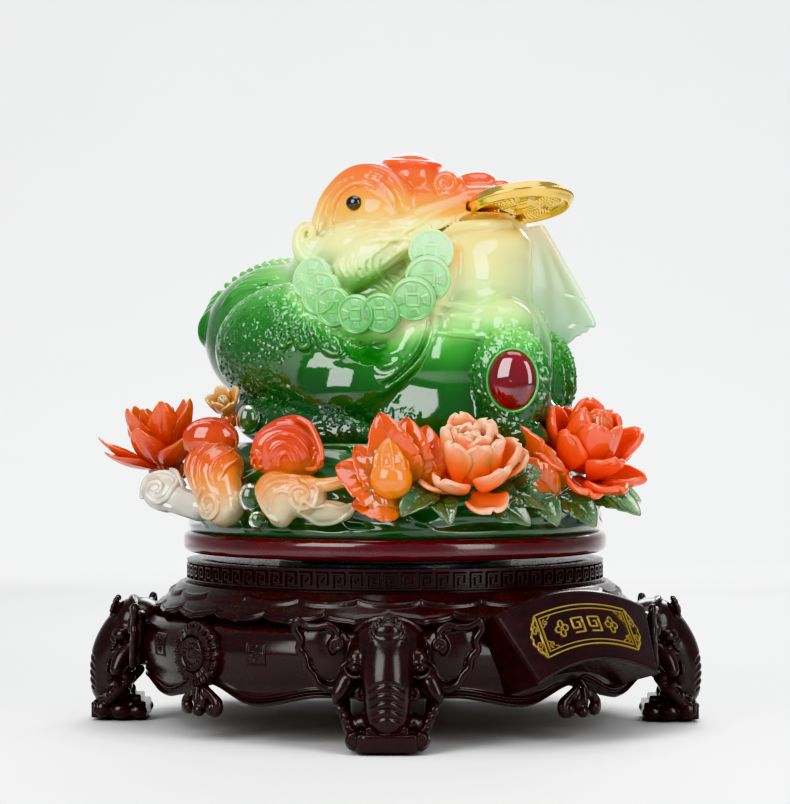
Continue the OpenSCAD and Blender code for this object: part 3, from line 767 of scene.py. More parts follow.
def slot_shape(centre, slide, side, normal):
    reach = 60.0

    def distance(x, y, z):
        px, py, pz = x - centre[0], y - centre[1], z - centre[2]
        along = px * slide[0] + py * slide[1] + pz * slide[2]
        over = px * side[0] + py * side[1] + pz * side[2]
        off = px * normal[0] + py * normal[1] + pz * normal[2]
        h = np.clip(along, 0, reach)
        flat = np.sqrt((along - h) ** 2 + over ** 2) - (COIN_R + SLOT_ROOM)
        thick = np.abs(off) - (COIN_T / 2 + SLOT_ROOM)
        return np.maximum(flat, thick)
    low = np.array(centre) - 40
    return low, np.array(centre) + 90, distance


# ---------------------------------------------------------------- turned and relief pieces

def lathe(angles, radius, height):
    """Closed ring shell. radius and height have one row per angle and one column per profile point."""
    a = np.asarray(angles)[:, None]
    radius, height = np.broadcast_arrays(radius, height)
    points = np.stack([radius * np.cos(a), radius * np.sin(a), height + 0 * a], -1).reshape(-1, 3)
    return points, grid_faces(len(angles), radius.shape[1], True, True)


def full_turn(n):
    return np.linspace(0, 2 * math.pi, n, endpoint=False)


def facing_out(points, faces):
    """Turns the faces of a closed shell outwards."""
    p = np.asarray(points)
    f = np.array(faces)
    a, b, c = p[f[:, 0]], p[f[:, 1]], p[f[:, 2]]
    d = p[f[:, 3]]
    volume = np.einsum("ij,ij->i", a, np.cross(b, c)).sum() + np.einsum("ij,ij->i", a, np.cross(c, d)).sum()
    return faces if volume > 0 else [tuple(reversed(q)) for q in faces]


def shell_piece(name, points, faces, *where, smooth=True):
    """Piece from a closed shell. where holds its body, slot, material and CAD node."""
    return placed(new_mesh(name, points, facing_out(points, faces), smooth=smooth), *where)


def profile_line(points, step):
    """Profile points with more of them between, no further apart than step."""
    out = []
    for (r0, z0), (r1, z1) in zip(points[:-1], points[1:]):
        n = max(1, int(math.ceil(math.hypot(r1 - r0, z1 - z0) / step)))
        out += [(r0 + (r1 - r0) * i / n, z0 + (z1 - z0) * i / n) for i in range(n)]
    return out + [points[-1]]


def relief_disc(n_round, reach, hole, top, bottom, rings):
    """Closed coin-like shell about Z. reach and hole give radii for an angle, top and bottom heights."""
    a = full_turn(n_round)
    t = np.linspace(0, 1, rings)[None, :]
    inner, outer = hole(a)[:, None], reach(a)[:, None]
    r = inner + (outer - inner) * t
    aa = a[:, None] + 0 * r
    up, low = top(r, aa), bottom(r, aa)
    r = np.hstack([r, r[:, ::-1]])
    z = np.hstack([up, low[:, ::-1]])
    aa = np.hstack([aa, aa])
    points = np.stack([r * np.cos(aa), r * np.sin(aa), z], -1).reshape(-1, 3)
    return points, grid_faces(n_round, r.shape[1], True, True)


def relief_tile(at, width, height, nx, ny, depth, relief):
    """Closed patch that follows a surface. at(x, y, lift) gives its points, relief(x, y) its lift."""
    x, y = np.meshgrid(np.linspace(-width / 2, width / 2, nx), np.linspace(-height / 2, height / 2, ny),
                       indexing="ij")
    lift = relief(x, y)
    edge = (np.abs(np.abs(x) - width / 2) < 1e-6) | (np.abs(np.abs(y) - height / 2) < 1e-6)
    front, back = at(x, y, np.where(edge, -depth, lift)), at(x, y, 0 * x - depth)
    flat = lambda p: np.asarray(p).reshape(-1, 3)
    faces = grid_faces(nx, ny)
    n = nx * ny
    rim = [i * ny for i in range(nx)] + [(nx - 1) * ny + j for j in range(1, ny)]
    rim += [i * ny + ny - 1 for i in range(nx - 2, -1, -1)] + [j for j in range(ny - 2, 0, -1)]
    sides = [(a, b, b + n, a + n) for a, b in zip(rim, rim[1:] + rim[:1])]
    rear = [tuple(n + i for i in reversed(f)) for f in faces]
    return np.vstack([flat(front), flat(back)]), faces + rear + sides


def ridge(distance, width):
    return np.exp(-(distance / width) ** 2)


# ---------------------------------------------------------------- pedestal

SECTORS = (45, 135, 225, 315)
TAIL_LOW = 18.5          # lowest height of the drum's wavy lower edge
DRUM_LINE = [(103.5, 73), (109, 70.5), (124, 57.5), (128.5, 57), (133, 53), (135.3, 49), (136, 45),
             (135.5, 40), (134, 34), (132.2, 30), (131.3, 26), (131.6, 22), (133.2, 17)]
COLLAR_PETALS = 24


def drum_radius(z):
    """Radius of the drum's outside at a height below its collar."""
    line = np.array(DRUM_LINE[3:])
    return np.interp(-np.asarray(z, float), -line[:, 1], line[:, 0]) + DRUM_R - 136


def sector_angle(a):
    """Degrees from the middle of the sector between two legs."""
    return (np.degrees(a) % 90) - 45


def lower_edge(a):
    """Height of the wavy lower edge, with a cusp in the middle of every sector."""
    s = np.abs(sector_angle(a))
    wave = np.where(s < 15, 9.3 * (0.5 + 0.5 * np.cos(math.pi * s / 15)), 5.5 * smooth_step((s - 15) / 16))
    return TAIL_LOW + wave - 1.6 * ridge(s, 1.0)


def drum_piece(material):
    n = 720
    a = full_turn(n)
    edge = lower_edge(a)[:, None]
    near = np.linspace(0, 7, 22)[None, :]              # fine steps over the double moulding
    far = np.linspace(0, 1, 16)[None, 1:]
    low = edge + near
    high = low[:, -1:] + far * (53 - low[:, -1:])
    z = np.hstack([low, high])
    r = drum_radius(z)
    d = z - edge
    lines = 1.5 * ridge(d - 1.4, 1.0) + 1.1 * ridge(d - 4.4, 0.8) - 0.4 * ridge(d - 2.9, 0.5)
    r = r + lines - 1.2 * ridge(d, 0.5)
    top = profile_line([(128.5, 57), (124, 57.5), (109, 70.5), (104, 73), (104, 86), (62.3, 86), (62.3, 81),
                        (4.1, 81), (4.1, 73), (96, 73), (100, 66), (120, 57), (128, 49), (128, 40),
                        (125.5, 34)], 6)
    r = np.hstack([r, np.tile([p[0] for p in top], (n, 1)), 0 * edge + 125, 0 * edge + 126])
    z = np.hstack([z, np.tile([p[1] for p in top], (n, 1)), edge + 5, edge + 0.6])
    points, faces = lathe(a, r, z)
    return shell_piece("drum_casting", points, faces, "pedestal", "dark_wood", material, "pedestal_drum")


def on_drum(angle, height):
    """Places x (sideways) and y (up) measures on the drum's outside, with a lift away from it."""
    def at(x, y, lift):
        a = math.radians(angle) + x / DRUM_R
        z = height + y
        r = drum_radius(z) + lift
        return np.stack([r * np.cos(a), r * np.sin(a), z], -1)
    return at


def seal_relief(x, y):
    """Square frame around a four-petalled flower."""
    square = np.maximum(np.abs(x), np.abs(y))
    r, a = np.hypot(x, y), np.arctan2(y, x)
    petal = np.abs(r - 2.9 * np.abs(np.cos(2 * a)) - 0.6)
    drawn = np.maximum.reduce([ridge(square - 5.4, 0.42), ridge(petal, 0.4), ridge(r, 0.7),
                               ridge(square - 4.2, 0.22) * 0.5])
    return 1.0 * drawn - 0.25


def seals_piece(material):
    m = Mesh()
    for sector in SECTORS[:3]:
        for side in (-1, 1):
            m.add(*relief_tile(on_drum(sector + 16 * side, 45), 12.4, 12.4, 44, 44, 1.5, seal_relief))
    return placed(m.piece("seal_reliefs"), "pedestal", "dark_wood", material)


def scrolls_piece(material):
    """Three-lobed scroll that hangs at the middle of every sector's lower edge."""
    clay = Clay((122, -22, 8), (144, 22, 36), 0.55)
    for side in (-1, 1):
        add_tube(clay, [(133.5, side * 1.2, 30), (134.5, side * 3.5, 26), (134, side * 8.5, 22),
                        (133.5, side * 12, 18.5),
                        (134, side * 11.5, 14.5), (135, side * 8, 14.5), (135.5, side * 8, 17)],
                 (1.2, 1.8, 2.2, 2.6, 2.4, 2.0, 1.4), 0.5, 26)
        clay.join(egg((135.3, side * 9.2, 16.4), (2.8, 2.8, 2.8)), 0.6)
        add_tube(clay, [(134.5, side * 2.2, 28), (136.2, side * 3.2, 24.5), (135.5, side * 6, 21)],
                 (0.8, 1.0, 0.6), 0.3, 14)
    clay.join(egg((133.5, 0, 19), (4, 5, 6)), 1.2)
    clay.join(egg((136, 0, 14.6), (3.2, 3.4, 3.2)), 0.7)
    clay.join(cone((136.5, 0, 26), (137, 0, 20), 1.3, 2.2), 0.5)
    points, faces = clay.skin()
    m = Mesh()
    for sector in SECTORS:
        m.add(points @ turned("z", sector).T, faces.tolist())
    return placed(m.piece("apron_scrolls"), "pedestal", "dark_wood", material, "apron_moulding")


KEY = ("######..",
       "#....#..",
       "#.##.#..",
       "#.#..#..",
       "#.####..",
       "#.......",
       "########")


def fret_piece(material):
    units = 79
    cells = np.array([[c == "#" for c in row] for row in KEY[::-1]], float)
    across = np.tile(cells.T, (units, 1))                       # one row per cell along the band
    span = FRET_TOP - FRET_LOW
    heights, lift = [0.0, 0.9, 1.0, 1.5], [1, 1, 0, 0]
    key_low, cell = 1.9, (span - 3.9) / 7
    pattern = [np.full(len(across), v, float) for v in lift]
    z = list(heights)
    for k in range(7):
        z += [key_low + cell * (k + 0.14), key_low + cell * (k + 0.86)]
        pattern += [across[:, k]] * 2
    z += [span - 1.5, span - 1.1, span - 1.0, span]
    pattern += [np.zeros(len(across)), np.zeros(len(across)), np.ones(len(across)), np.ones(len(across))]
    lifts = np.stack(pattern, 1)
    n = len(across)
    a = full_turn(n)
    half = math.pi / n
    angles = np.stack([a - 0.74 * half, a + 0.74 * half], 1).ravel()
    lifts = np.repeat(lifts, 2, 0)
    r = FRET_R - 1.3 + 1.3 * lifts
    r = np.hstack([r, np.full((len(r), 2), 104.2)])
    zz = FRET_LOW + np.array(z + [span, 0.0])[None, :]
    points, faces = lathe(angles, r, zz)
    return shell_piece("fret_ring", points, faces, "pedestal", "dark_wood", material, "fret_band",
                       smooth=False)


def collar_piece(material):
    n = COLLAR_PETALS * 44
    a = full_turn(n)
    pitch = 2 * math.pi / COLLAR_PETALS
    start = np.array([FRET_R + 1.2, FRET_LOW - 0.2])
    end = np.array([128.0, 59.6])
    along = (end - start) / np.linalg.norm(end - start)
    out = np.array([-along[1], along[0]])

    def arc(angle):
        x = ((angle / pitch) % 1) * 2 - 1
        return 1 - np.sqrt(1 - 0.93 * x * x)
    length = np.linalg.norm(end - start)
    reach = length - 5.2 * arc(a)[:, None] + 0.9 * ridge(((a / pitch) % 1 * 2 - 1)[:, None], 0.13)
    t = np.concatenate([np.linspace(0, 0.45, 14), np.linspace(0.47, 1, 40)])[None, :]
    s = reach * t
    d = reach - s
    upper = length * 0.46 - 4.6 * arc(a + pitch / 2)[:, None]
    lift = (1.0 * ridge(d - 0.9, 0.75) + 0.7 * ridge(d - 3.0, 0.6) + 0.9 * ridge(s - upper, 0.7)
            + 0.6 * ridge(s - upper + 1.9, 0.5))
    lift = (lift + 0.9 * smooth_step((upper - s) / 0.8) + 0.5 + 0.8 * smooth_step(d / 7)
            - 0.9 * smooth_step((1.0 - s) / 1.0))
    r = start[0] + along[0] * s + out[0] * lift
    z = start[1] + along[1] * s + out[1] * lift
    edge_r, edge_z = start[0] + along[0] * reach, start[1] + along[1] * reach
    under = np.array([1.0, 0.55, 0.0])[None, :]
    ur = start[0] + (edge_r - start[0]) * under - 1.9
    uz = start[1] + (edge_z - start[1]) * under - 1.5
    r, z = np.hstack([r, ur]), np.hstack([z, uz])
    points, faces = lathe(a, r, z)
    return shell_piece("collar_petals", points, faces, "pedestal", "dark_wood", material, "scalloped_collar")


def medallion_points():
    """Domed coin inside two rings of ribbed petals, about Z, with its back at z = 0."""
    def reach(a):
        return 15.6 + 0.9 * np.abs(np.cos(9 * a))

    def top(r, a):
        edge = reach(a)
        outer = 3.2 + 1.3 * np.abs(np.cos(9 * a)) * smooth_step((edge - r) / 1.5) + 0.5 * np.cos(54 * a)
        inner = 4.6 + 0.9 * np.abs(np.cos(8 * a + 0.4)) + 0.35 * np.cos(48 * a)
        coin = 5.0 + 1.0 * ridge(r - 8.0, 0.6) + 0.9 * (1 - (r / 8.6) ** 2)
        face = 0.55 * ridge(np.maximum(np.abs(r * np.cos(a)), np.abs(r * np.sin(a))) - 2.0, 0.4)
        strokes = 0.5 * ridge((r - 5.4), 0.9) * np.clip(2.2 * np.cos(16 * a), -1, 1)
        z = np.where(r > 12.6, outer, np.where(r > 9.6, inner, 3.2))
        z = np.where(r < 8.9, coin + face + strokes, z)
        return z * smooth_step((edge - r) / 0.8 + 0.25)
    return relief_disc(288, reach, lambda a: 0 * a + 0.05, top, lambda r, a: 0 * r - 1.5, 66)


def medallions_piece(material):
    points, faces = medallion_points()
    m = Mesh()
    for sector in SECTORS[:3]:
        turn = turned("z", sector)
        p = np.stack([DRUM_R - 0.9 + points[:, 2], -points[:, 0], 43 + points[:, 1]], -1)
        m.add(p @ turn.T, facing_out(p, faces))
    return placed(m.piece("drum_medallions"), "pedestal", "dark_wood", material, "medallions")


def spiral_tube(clay, centre, across, along, r0, r1, start, sweep, thick, blend=0.3, n=30):
    add_tube(clay, spiral(centre, across, along, r0, r1, start, sweep, 12), thick, blend, n)


def block(centre, half, rounding, turn=None):
    """Box with rounded edges."""
    c, h = np.array(centre, float), np.array(half, float) - rounding
    reach = np.full(3, np.linalg.norm(half)) if turn is not None else np.array(half, float)

    def distance(x, y, z):
        x, y, z = x - c[0], y - c[1], z - c[2]
        if turn is not None:
            x, y, z = [turn[0, i] * x + turn[1, i] * y + turn[2, i] * z for i in range(3)]
        qx, qy, qz = np.abs(x) - h[0], np.abs(y) - h[1], np.abs(z) - h[2]
        far = np.sqrt(np.maximum(qx, 0) ** 2 + np.maximum(qy, 0) ** 2 + np.maximum(qz, 0) ** 2)
        return far + np.minimum(np.maximum(np.maximum(qx, qy), qz), 0) - rounding
    return c - reach, c + reach, distance


def drum_side(y, lift=0.0):
    return math.sqrt((DRUM_R + lift) ** 2 - y * y)


def elephant_points():
    """Half of an elephant's head facing +X, mirrored: ears, jewel, trunk and the foot that it stands on."""
    clay = Clay((118, 0, 1.0), (163.5, 50, 72), 0.62)
    # skull, forehead and its arched ridge
    add_eggs(clay, [
        ((134, 0, 46), (13.5, 19, 18), 0),
        ((139.5, 0, 54.5), (10.5, 14.5, 10), 3),
        ((142, 6.5, 52), (7.5, 8.5, 8), 3),
    ])
    add_tube(clay, [(141, 0, 64.6), (140, 6, 64), (138, 12, 61.5), (136, 16.5, 57.5)],
             (1.3, 1.3, 1.0), 0.6, 22)
    # jewel: an oval dome in a ring of beads
    clay.join(egg((149.0, 0, 59), (3.4, 6.6, 4.4), turned("y", -25)), 0.4)
    for i in range(9):
        a = math.radians(-92 + 22 * i)
        clay.join(egg((150.6 - 1.2 * max(0, math.sin(a)) * 2, 8.6 * math.cos(a), 58.4 + 6.2 * math.sin(a)),
                      (1.5, 1.25, 1.5)), 0.25)
        if i < 8:
            b = a + math.radians(11)
            clay.join(egg((149.8, 7.2 * math.cos(b), 58.6 + 5.0 * math.sin(b)), (1.1, 0.9, 0.9)), 0.2)
    # trunk with its creases
    add_tube(clay, [(141, 0, 48), (148.5, 0, 38), (152, 0, 28), (152.5, 0, 16)],
             (13, 11.5, 10.2, 9.4), 2.5, 18)
    clay.join(egg((150, 0, 18), (9.5, 11, 8)), 2)

    def creases(x, y, z):
        here = smooth_step((x - 152) / 4) * smooth_step((9.5 - np.abs(y)) / 4)
        here = here * smooth_step((z - 15) / 2) * smooth_step((37 - z) / 4)
        return -here * 1.0 * ridge(((z + 0.05 * y * y) / 4.1) % 1 - 0.5, 0.16)
    clay.shift((146, 0, 12), (163, 14, 40), creases)
    # eye, lids and the fold under them
    clay.join(egg((144.5, 14.5, 45.5), (5.5, 5.5, 4.5)), 2)
    clay.join(egg((147.6, 15.4, 40.6), (2.4, 2.8, 2.2)), 0.5)
    add_tube(clay, [(149, 11.5, 42.5), (149.6, 15.5, 43.8), (147, 19.5, 41.5)], (0.9, 1.2, 0.8), 0.3, 16)
    add_tube(clay, [(149.5, 11, 38), (149.4, 15, 36.4), (147.2, 19, 37.6), (145, 21, 41)],
             (0.7, 1.1, 1.1, 0.7), 0.3, 18)
    # tusk sheath with a small curl beside the trunk
    add_tube(clay, [(140, 18, 38), (144, 20.5, 33), (146.5, 24, 27.5)], (4.5, 4.6, 3.0), 1.2, 14)
    spiral_tube(clay, (151.5, 12.2, 28.5), (0.2, 1, 0), (0, 0, 1), 2.8, 0.6, 60, -420, (1.3, 1.2, 1.0),
                0.2, 20)
    # ear: a hollowed plate with a rolled and notched rim
    for y, z, ry, rz in ((24, 46, 7, 12), (31, 50, 9, 9.5), (36, 52, 8, 8), (30, 40, 8, 9)):
        clay.join(egg((drum_side(y, 0.5), y, z), (3.2, ry, rz)), 3)
    rim = [(27.2, 47), (28, 51.5), (24.5, 57), (29, 60.5), (35, 59.6), (40, 60), (44.5, 62.6), (45.3, 58),
           (42.6, 53.5), (43.4, 48.5), (40.4, 45), (39.2, 39.5), (36, 36), (33.5, 31.6), (28, 29.6), (23, 32),
           (19.5, 37.5), (18.5, 43)]
    rim = [(drum_side(y, 3.4 + 0.08 * (y - 18)), y, z) for y, z in rim]
    add_tube(clay, rim, (1.2, 1.7, 1.8, 1.9, 1.9, 1.9, 1.6, 1.2), 0.5, 80)
    inner = [(24, 54), (29, 57.4), (36, 56.8), (40.5, 57), (40, 52), (39, 47), (36, 41), (32.5, 35.5),
             (28, 33.2), (24.5, 35.5), (22, 40)]
    add_tube(clay, [(drum_side(y, 3.1), y, z) for y, z in inner], (0.5, 0.75, 0.75, 0.5), 0.2, 60)
    spiral_tube(clay, (drum_side(24.5, 5.2), 24.5, 51), (-0.18, 1, 0), (0, 0, 1), 3.6, 0.8, -60, 470,
                (1.4, 1.4, 1.0), 0.2, 30)
    # foot: a stepped block with a front bar between two scrolls
    clay.join(block((146.5, 0, 5.5), (14.5, 14.5, 4.6), 1.2), 0.3)
    clay.join(block((146.5, 0, 11), (11.5, 10.5, 2.4), 1.0), 0.5)
    clay.join(cone((160.0, 0, 8.3), (160.0, 10.6, 8.3), 1.5, 1.5), 0.3)
    clay.join(block((158.5, 0, 4.4), (1.8, 12, 3.0), 0.8), 0.3)
    clay.join(egg((154.5, 16, 6.5), (4.8, 4.4, 4.8)), 0.8)
    spiral_tube(clay, (158.2, 16, 6.8), (0, 1, 0), (0.1, 0, 1), 3.4, 0.6, 100, -470, (1.1, 1.0, 0.9), 0.15,
                26)
    clay.join(egg((145, 17, 5.5), (5.5, 3.6, 4.2)), 1.0)
    clay.join(egg((136, 15, 5.0), (5, 3.6, 4.0)), 1.0)
    # curling leaves down the trunk's flank
    add_tube(clay, [(139, 21, 24), (145, 20.5, 18), (150, 18.5, 12), (154, 16, 10)],
             (2.6, 2.9, 2.4, 1.6), 0.8, 20)
    for at, size in (((146, 22.5, 20.5), 2.6), ((141, 24.5, 24.5), 2.3), ((150.5, 19.5, 15), 2.3)):
        clay.join(egg(at, (size, size, size)), 0.4)
        spiral_tube(clay, (at[0] + 1.2, at[1] + 0.8, at[2]), (0, 1, 0), (0, 0, 1), size * 0.8, 0.3, 40,
                    400, (0.7, 0.7, 0.5), 0.1, 14)
    clay.join(egg((146, 12, 14), (6, 6, 5)), 2)
    # hollow back, so that the casting sits on the drum
    def inside_drum(x, y, z):
        return np.sqrt(x * x + y * y) - (drum_radius(z) - 1.2) + 1e3 * (z > 56)

    def inside_collar(x, y, z):
        return np.sqrt(x * x + y * y) + 0 * z - 126.5
    clay.cut(((110, -60, 20), (142, 60, 80), inside_drum), 0.2)
    clay.cut(((110, -60, 50), (142, 60, 80), inside_collar), 0.2)
    clay.cut(below(FELT_TOP, (110, -60, -5), (170, 60, 3)))
    return clay.mirrored().skin()


def legs_pieces(material):
    points, faces = elephant_points()
    for turn, name in ((-90, "front"), (0, "right"), (90, "back"), (180, "left")):
        piece = new_mesh("elephant_" + name, points @ turned("z", turn).T, faces)
        placed(piece, "pedestal", "dark_wood", material, "elephant_leg_" + name)


# ---------------------------------------------------------------- plaque

PLAQUE_TURN, PLAQUE_LEAN, PLAQUE_LOW = -47.0, 28.0, 33.0
PLAQUE_W, PLAQUE_TAPER, PLAQUE_H, PLAQUE_ARCH, PLAQUE_T = 107.0, 0.79, 38.0, 9.0, 18.0
PLAQUE_BEND = 230.0      # radius that the face bends around the drum with


def plaque_at(s, t, lift):
    """Point of the plaque: s from -1 to 1 across, t from 0 to 1 up the slope."""
    width = PLAQUE_W * (PLAQUE_TAPER + (1 - PLAQUE_TAPER) * t)
    x = s * width / 2
    y = t * PLAQUE_H + PLAQUE_ARCH * np.cos(s * math.pi / 2) ** 0.9
    depth = lift - x * x / (2 * PLAQUE_BEND) + 2.4
    lean = math.radians(PLAQUE_LEAN)
    out = DRUM_R + 18 + depth * math.cos(lean) - y * math.sin(lean)
    up = PLAQUE_LOW + y * math.cos(lean) + depth * math.sin(lean)
    p = np.stack([out + 0 * x, x, up + 0 * x], -1)
    return p @ turned("z", PLAQUE_TURN).T


def plaque_xy(x, y, lift):
    """The same, from millimetres across and up from the face's centre."""
    t = 0.5 + y / PLAQUE_H
    width = PLAQUE_W * (PLAQUE_TAPER + (1 - PLAQUE_TAPER) * t)
    return plaque_at(2 * x / width, t, lift)


def plaque_piece(material):
    def at(x, y, lift):
        return plaque_at(x, y + 0.5, lift)

    def lift(x, y):
        near = np.minimum(1 - np.abs(x), (0.5 - np.abs(y)) * 0.8)
        return -0.9 * smooth_step((0.03 - near) / 0.03)
    across, rows = 81, 41
    points, faces = relief_tile(at, 2.0, 1.0, across, rows, 0.9, lift)
    n = len(points) // 2
    s, t = np.meshgrid(np.linspace(-1, 1, across), np.linspace(0, 1, rows), indexing="ij")
    back = plaque_at(s, t, 0 * s - PLAQUE_T).reshape(-1, 3)
    a = np.arctan2(back[:, 1], back[:, 0])
    inside = np.hypot(back[:, 0], back[:, 1])
    limit = np.where(back[:, 2] > 57, 118, drum_radius(np.minimum(back[:, 2], 57)) - 1.5)
    keep = np.minimum(inside, limit)
    back[:, 0], back[:, 1] = keep * np.cos(a), keep * np.sin(a)
    points[n:] = back
    m = Mesh()
    m.add(points, facing_out(points, faces))
    return placed(m.piece("plaque_slab", smooth=False), "pedestal", "dark_wood", material, "plaque")


def ribbon(m, path, width, height, closed=False):
    """Raised line on the plaque's face. path holds x, y pairs in mm from the face's centre."""
    p = np.array(path, float)
    if closed:
        ahead, behind = np.roll(p, -1, 0), np.roll(p, 1, 0)
    else:
        ahead, behind = np.vstack([p[1:], p[-1]]), np.vstack([p[0], p[:-1]])
    tangent = ahead - behind
    tangent /= np.maximum(np.linalg.norm(tangent, axis=1, keepdims=True), 1e-9)
    side = np.stack([-tangent[:, 1], tangent[:, 0]], 1) * width / 2
    section = ((-1, -0.3), (-0.75, height), (0.75, height), (1, -0.3))
    rows = [plaque_xy(*(p + side * k).T, np.full(len(p), h)) for k, h in section]
    points = np.stack(rows, 1).reshape(-1, 3)
    faces = grid_faces(len(p), 4, True, closed)
    if not closed:
        last = (len(p) - 1) * 4
        faces += [(3, 2, 1, 0), (last, last + 1, last + 2, last + 3)]
    m.add(points, faces)


def inlay_piece(material):
    m = Mesh()
    for inset in (0.0, 2.2):
        w, h = 31.5 - inset, 10.6 - inset
        ribbon(m, profile_line([(-w, -h), (w, -h), (w, h), (-w, h), (-w, -h)], 1.5)[:-1],
               0.95 if inset == 0 else 0.75, 0.5, True)
    for sx in (-1, 1):
        # ornate ends: a scalloped outer line with two curls inside
        t = np.linspace(-1, 1, 45)
        bulge = 5.2 * (1 - np.abs(t) ** 1.6) + 0.9 * np.abs(np.sin(t * 2.5 * math.pi)) * (1 - np.abs(t) ** 4)
        ribbon(m, [(sx * (31.5 + b), 10.6 * v) for v, b in zip(t, bulge)], 0.9, 0.5)
        for sy in (-1, 1):
            curl = spiral((0, 0, 0), (1, 0, 0), (0, 1, 0), 2.4, 0.5, 200, -460, 20)[:, :2]
            ribbon(m, [(sx * (34.2 + 0.75 * p[0]), sy * (3.4 + p[1])) for p in curl], 0.7, 0.5)
            tail = [(32.2, 9.0), (33.4, 7.6), (34.2, 6.4), (33.6, 5.4)]
            ribbon(m, [(sx * x, sy * y) for x, y in tail], 0.7, 0.5)
            corner = spiral((0, 0, 0), (1, 0, 0), (0, 1, 0), 1.7, 0.4, 90, -420, 16)[:, :2]
            ribbon(m, [(sx * (26.4 + p[0]), sy * (5.6 + p[1])) for p in corner], 0.65, 0.5)
            ribbon(m, [(sx * 28.6, sy * 3.4), (sx * 27.2, sy * 4.2), (sx * 26.4, sy * 5.6)], 0.6, 0.5)
            ribbon(m, [(sx * 22.4, sy * 8.2), (sx * 23.6, sy * 7.2), (sx * 25.0, sy * 6.6)], 0.6, 0.5)
    # four plain emblems: two key squares between two four-petalled flowers
    for i in range(4):
        x = -17.4 + 11.6 * i
        if i in (1, 2):
            key = [(-3.6, -3.8), (3.6, -3.8), (3.6, 3.8), (-3.6, 3.8), (-3.6, -1.4), (1.2, -1.4),
                   (1.2, 1.4), (-1.0, 1.4)]
            ribbon(m, [(x + px, py) for px, py in profile_line(key, 1.0)], 1.1, 0.55)
        else:
            a = np.linspace(0, 2 * math.pi, 64, endpoint=False)
            r = 1.5 + 2.6 * np.abs(np.cos(2 * a)) ** 0.8
            ribbon(m, [(x + rr * math.cos(b), rr * math.sin(b)) for rr, b in zip(r, a)], 0.9, 0.55, True)
            ribbon(m, [(x + 0.8 * math.cos(b), 0.8 * math.sin(b)) for b in a[::8]], 0.9, 0.6, True)
    return placed(m.piece("plaque_gold", smooth=False), "pedestal", "gold", material, "plaque_inlay")


def disc_piece(material):
    """Turned lacquer disc with rounded edges and the hole for its bush."""
    z0, z1 = bottom_of("lacquer_disc"), DISC_TOP
    e = 4.0
    quarter = np.radians(np.linspace(0, 90, 9))
    low = [(DISC_R - e + e * math.sin(a), z0 + e - e * math.cos(a)) for a in quarter]
    high = [(DISC_R - e + e * math.cos(a), z1 - e + e * math.sin(a)) for a in quarter]
    line = profile_line([(7.05, z1), (7.05, z0), (DISC_R - e, z0)], 30)[:-1] + low + high + [(60, z1)]
    a = full_turn(256)
    points, faces = lathe(a, np.tile([p[0] for p in line], (256, 1)), np.tile([p[1] for p in line], (256, 1)))
    return shell_piece("lacquer_turning", points, faces, "turntable", "red_lacquer", material, "lacquer_disc")


def wood_material():
    m = Nodes("dark_wood")
    grain = m.noise(60, 4.0, m.position(scale=(1, 1, 4)))
    m.colour(m.ramp(grain, [(0.30, (0.0060, 0.0012, 0.0015)), (0.75, (0.0170, 0.0022, 0.0030))]))
    m.uneven(300, 3.0, 0.20, 0.30)
    m.set(IOR=1.42, Coat_Weight=0.25, Coat_Roughness=0.16)
    m.bump(m.noise(1200, 3.0), 0.08, 0.0003)
    return m.material


def lacquer_material():
    m = Nodes("red_lacquer")
    m.mottled(90, 3.0, (0.050, 0.0020, 0.0040), (0.085, 0.0030, 0.0060))
    m.set(Roughness=0.22, Coat_Weight=0.7, Coat_Roughness=0.06)
    m.bump(m.noise(900, 2.0), 0.04, 0.0003)
    return m.material


def gold_material():
    m = Nodes("gold")
    m.mottled(140, 3.0, (0.86, 0.58, 0.16), (0.95, 0.68, 0.22))
    m.set(Metallic=1.0)
    m.uneven(500, 3.0, 0.13, 0.22)
    m.bump(m.noise(1500, 2.0), 0.05, 0.0002)
    return m.material


# ---------------------------------------------------------------- petals, leaves and flowers

def sheet_shell(points, thick):
    """Closed shell around a grid of points, thinner towards its border, with each point's row share."""
    nv, nu = points.shape[:2]
    normal = np.cross(np.gradient(points, axis=0), np.gradient(points, axis=1))
    normal /= np.maximum(np.linalg.norm(normal, axis=2, keepdims=True), 1e-9)
    v, u = np.linspace(0, 1, nv)[:, None], np.linspace(-1, 1, nu)[None, :]
    rounding = np.sqrt(np.clip(1 - np.abs(u) ** 6, 0, 1)) * np.sqrt(np.clip(1 - v ** 12, 0, 1))
    half = (thick / 2 * np.maximum(rounding, 0.22))[:, :, None]
    top, low = (points + normal * half).reshape(-1, 3), (points - normal * half).reshape(-1, 3)
    n = nv * nu
    rim = [j for j in range(nu)] + [i * nu + nu - 1 for i in range(1, nv)]
    rim += [(nv - 1) * nu + j for j in range(nu - 2, -1, -1)] + [i * nu for i in range(nv - 2, 0, -1)]
    faces = grid_faces(nv, nu)
    rear = [tuple(n + i for i in reversed(f)) for f in faces]
    sides = [(b, a, a + n, b + n) for a, b in zip(rim, rim[1:] + rim[:1])]
    faces = faces + rear + sides
    both = np.vstack([top, low])
    return both, facing_out(both, faces), np.tile(np.repeat(v[:, 0], nu), 2)


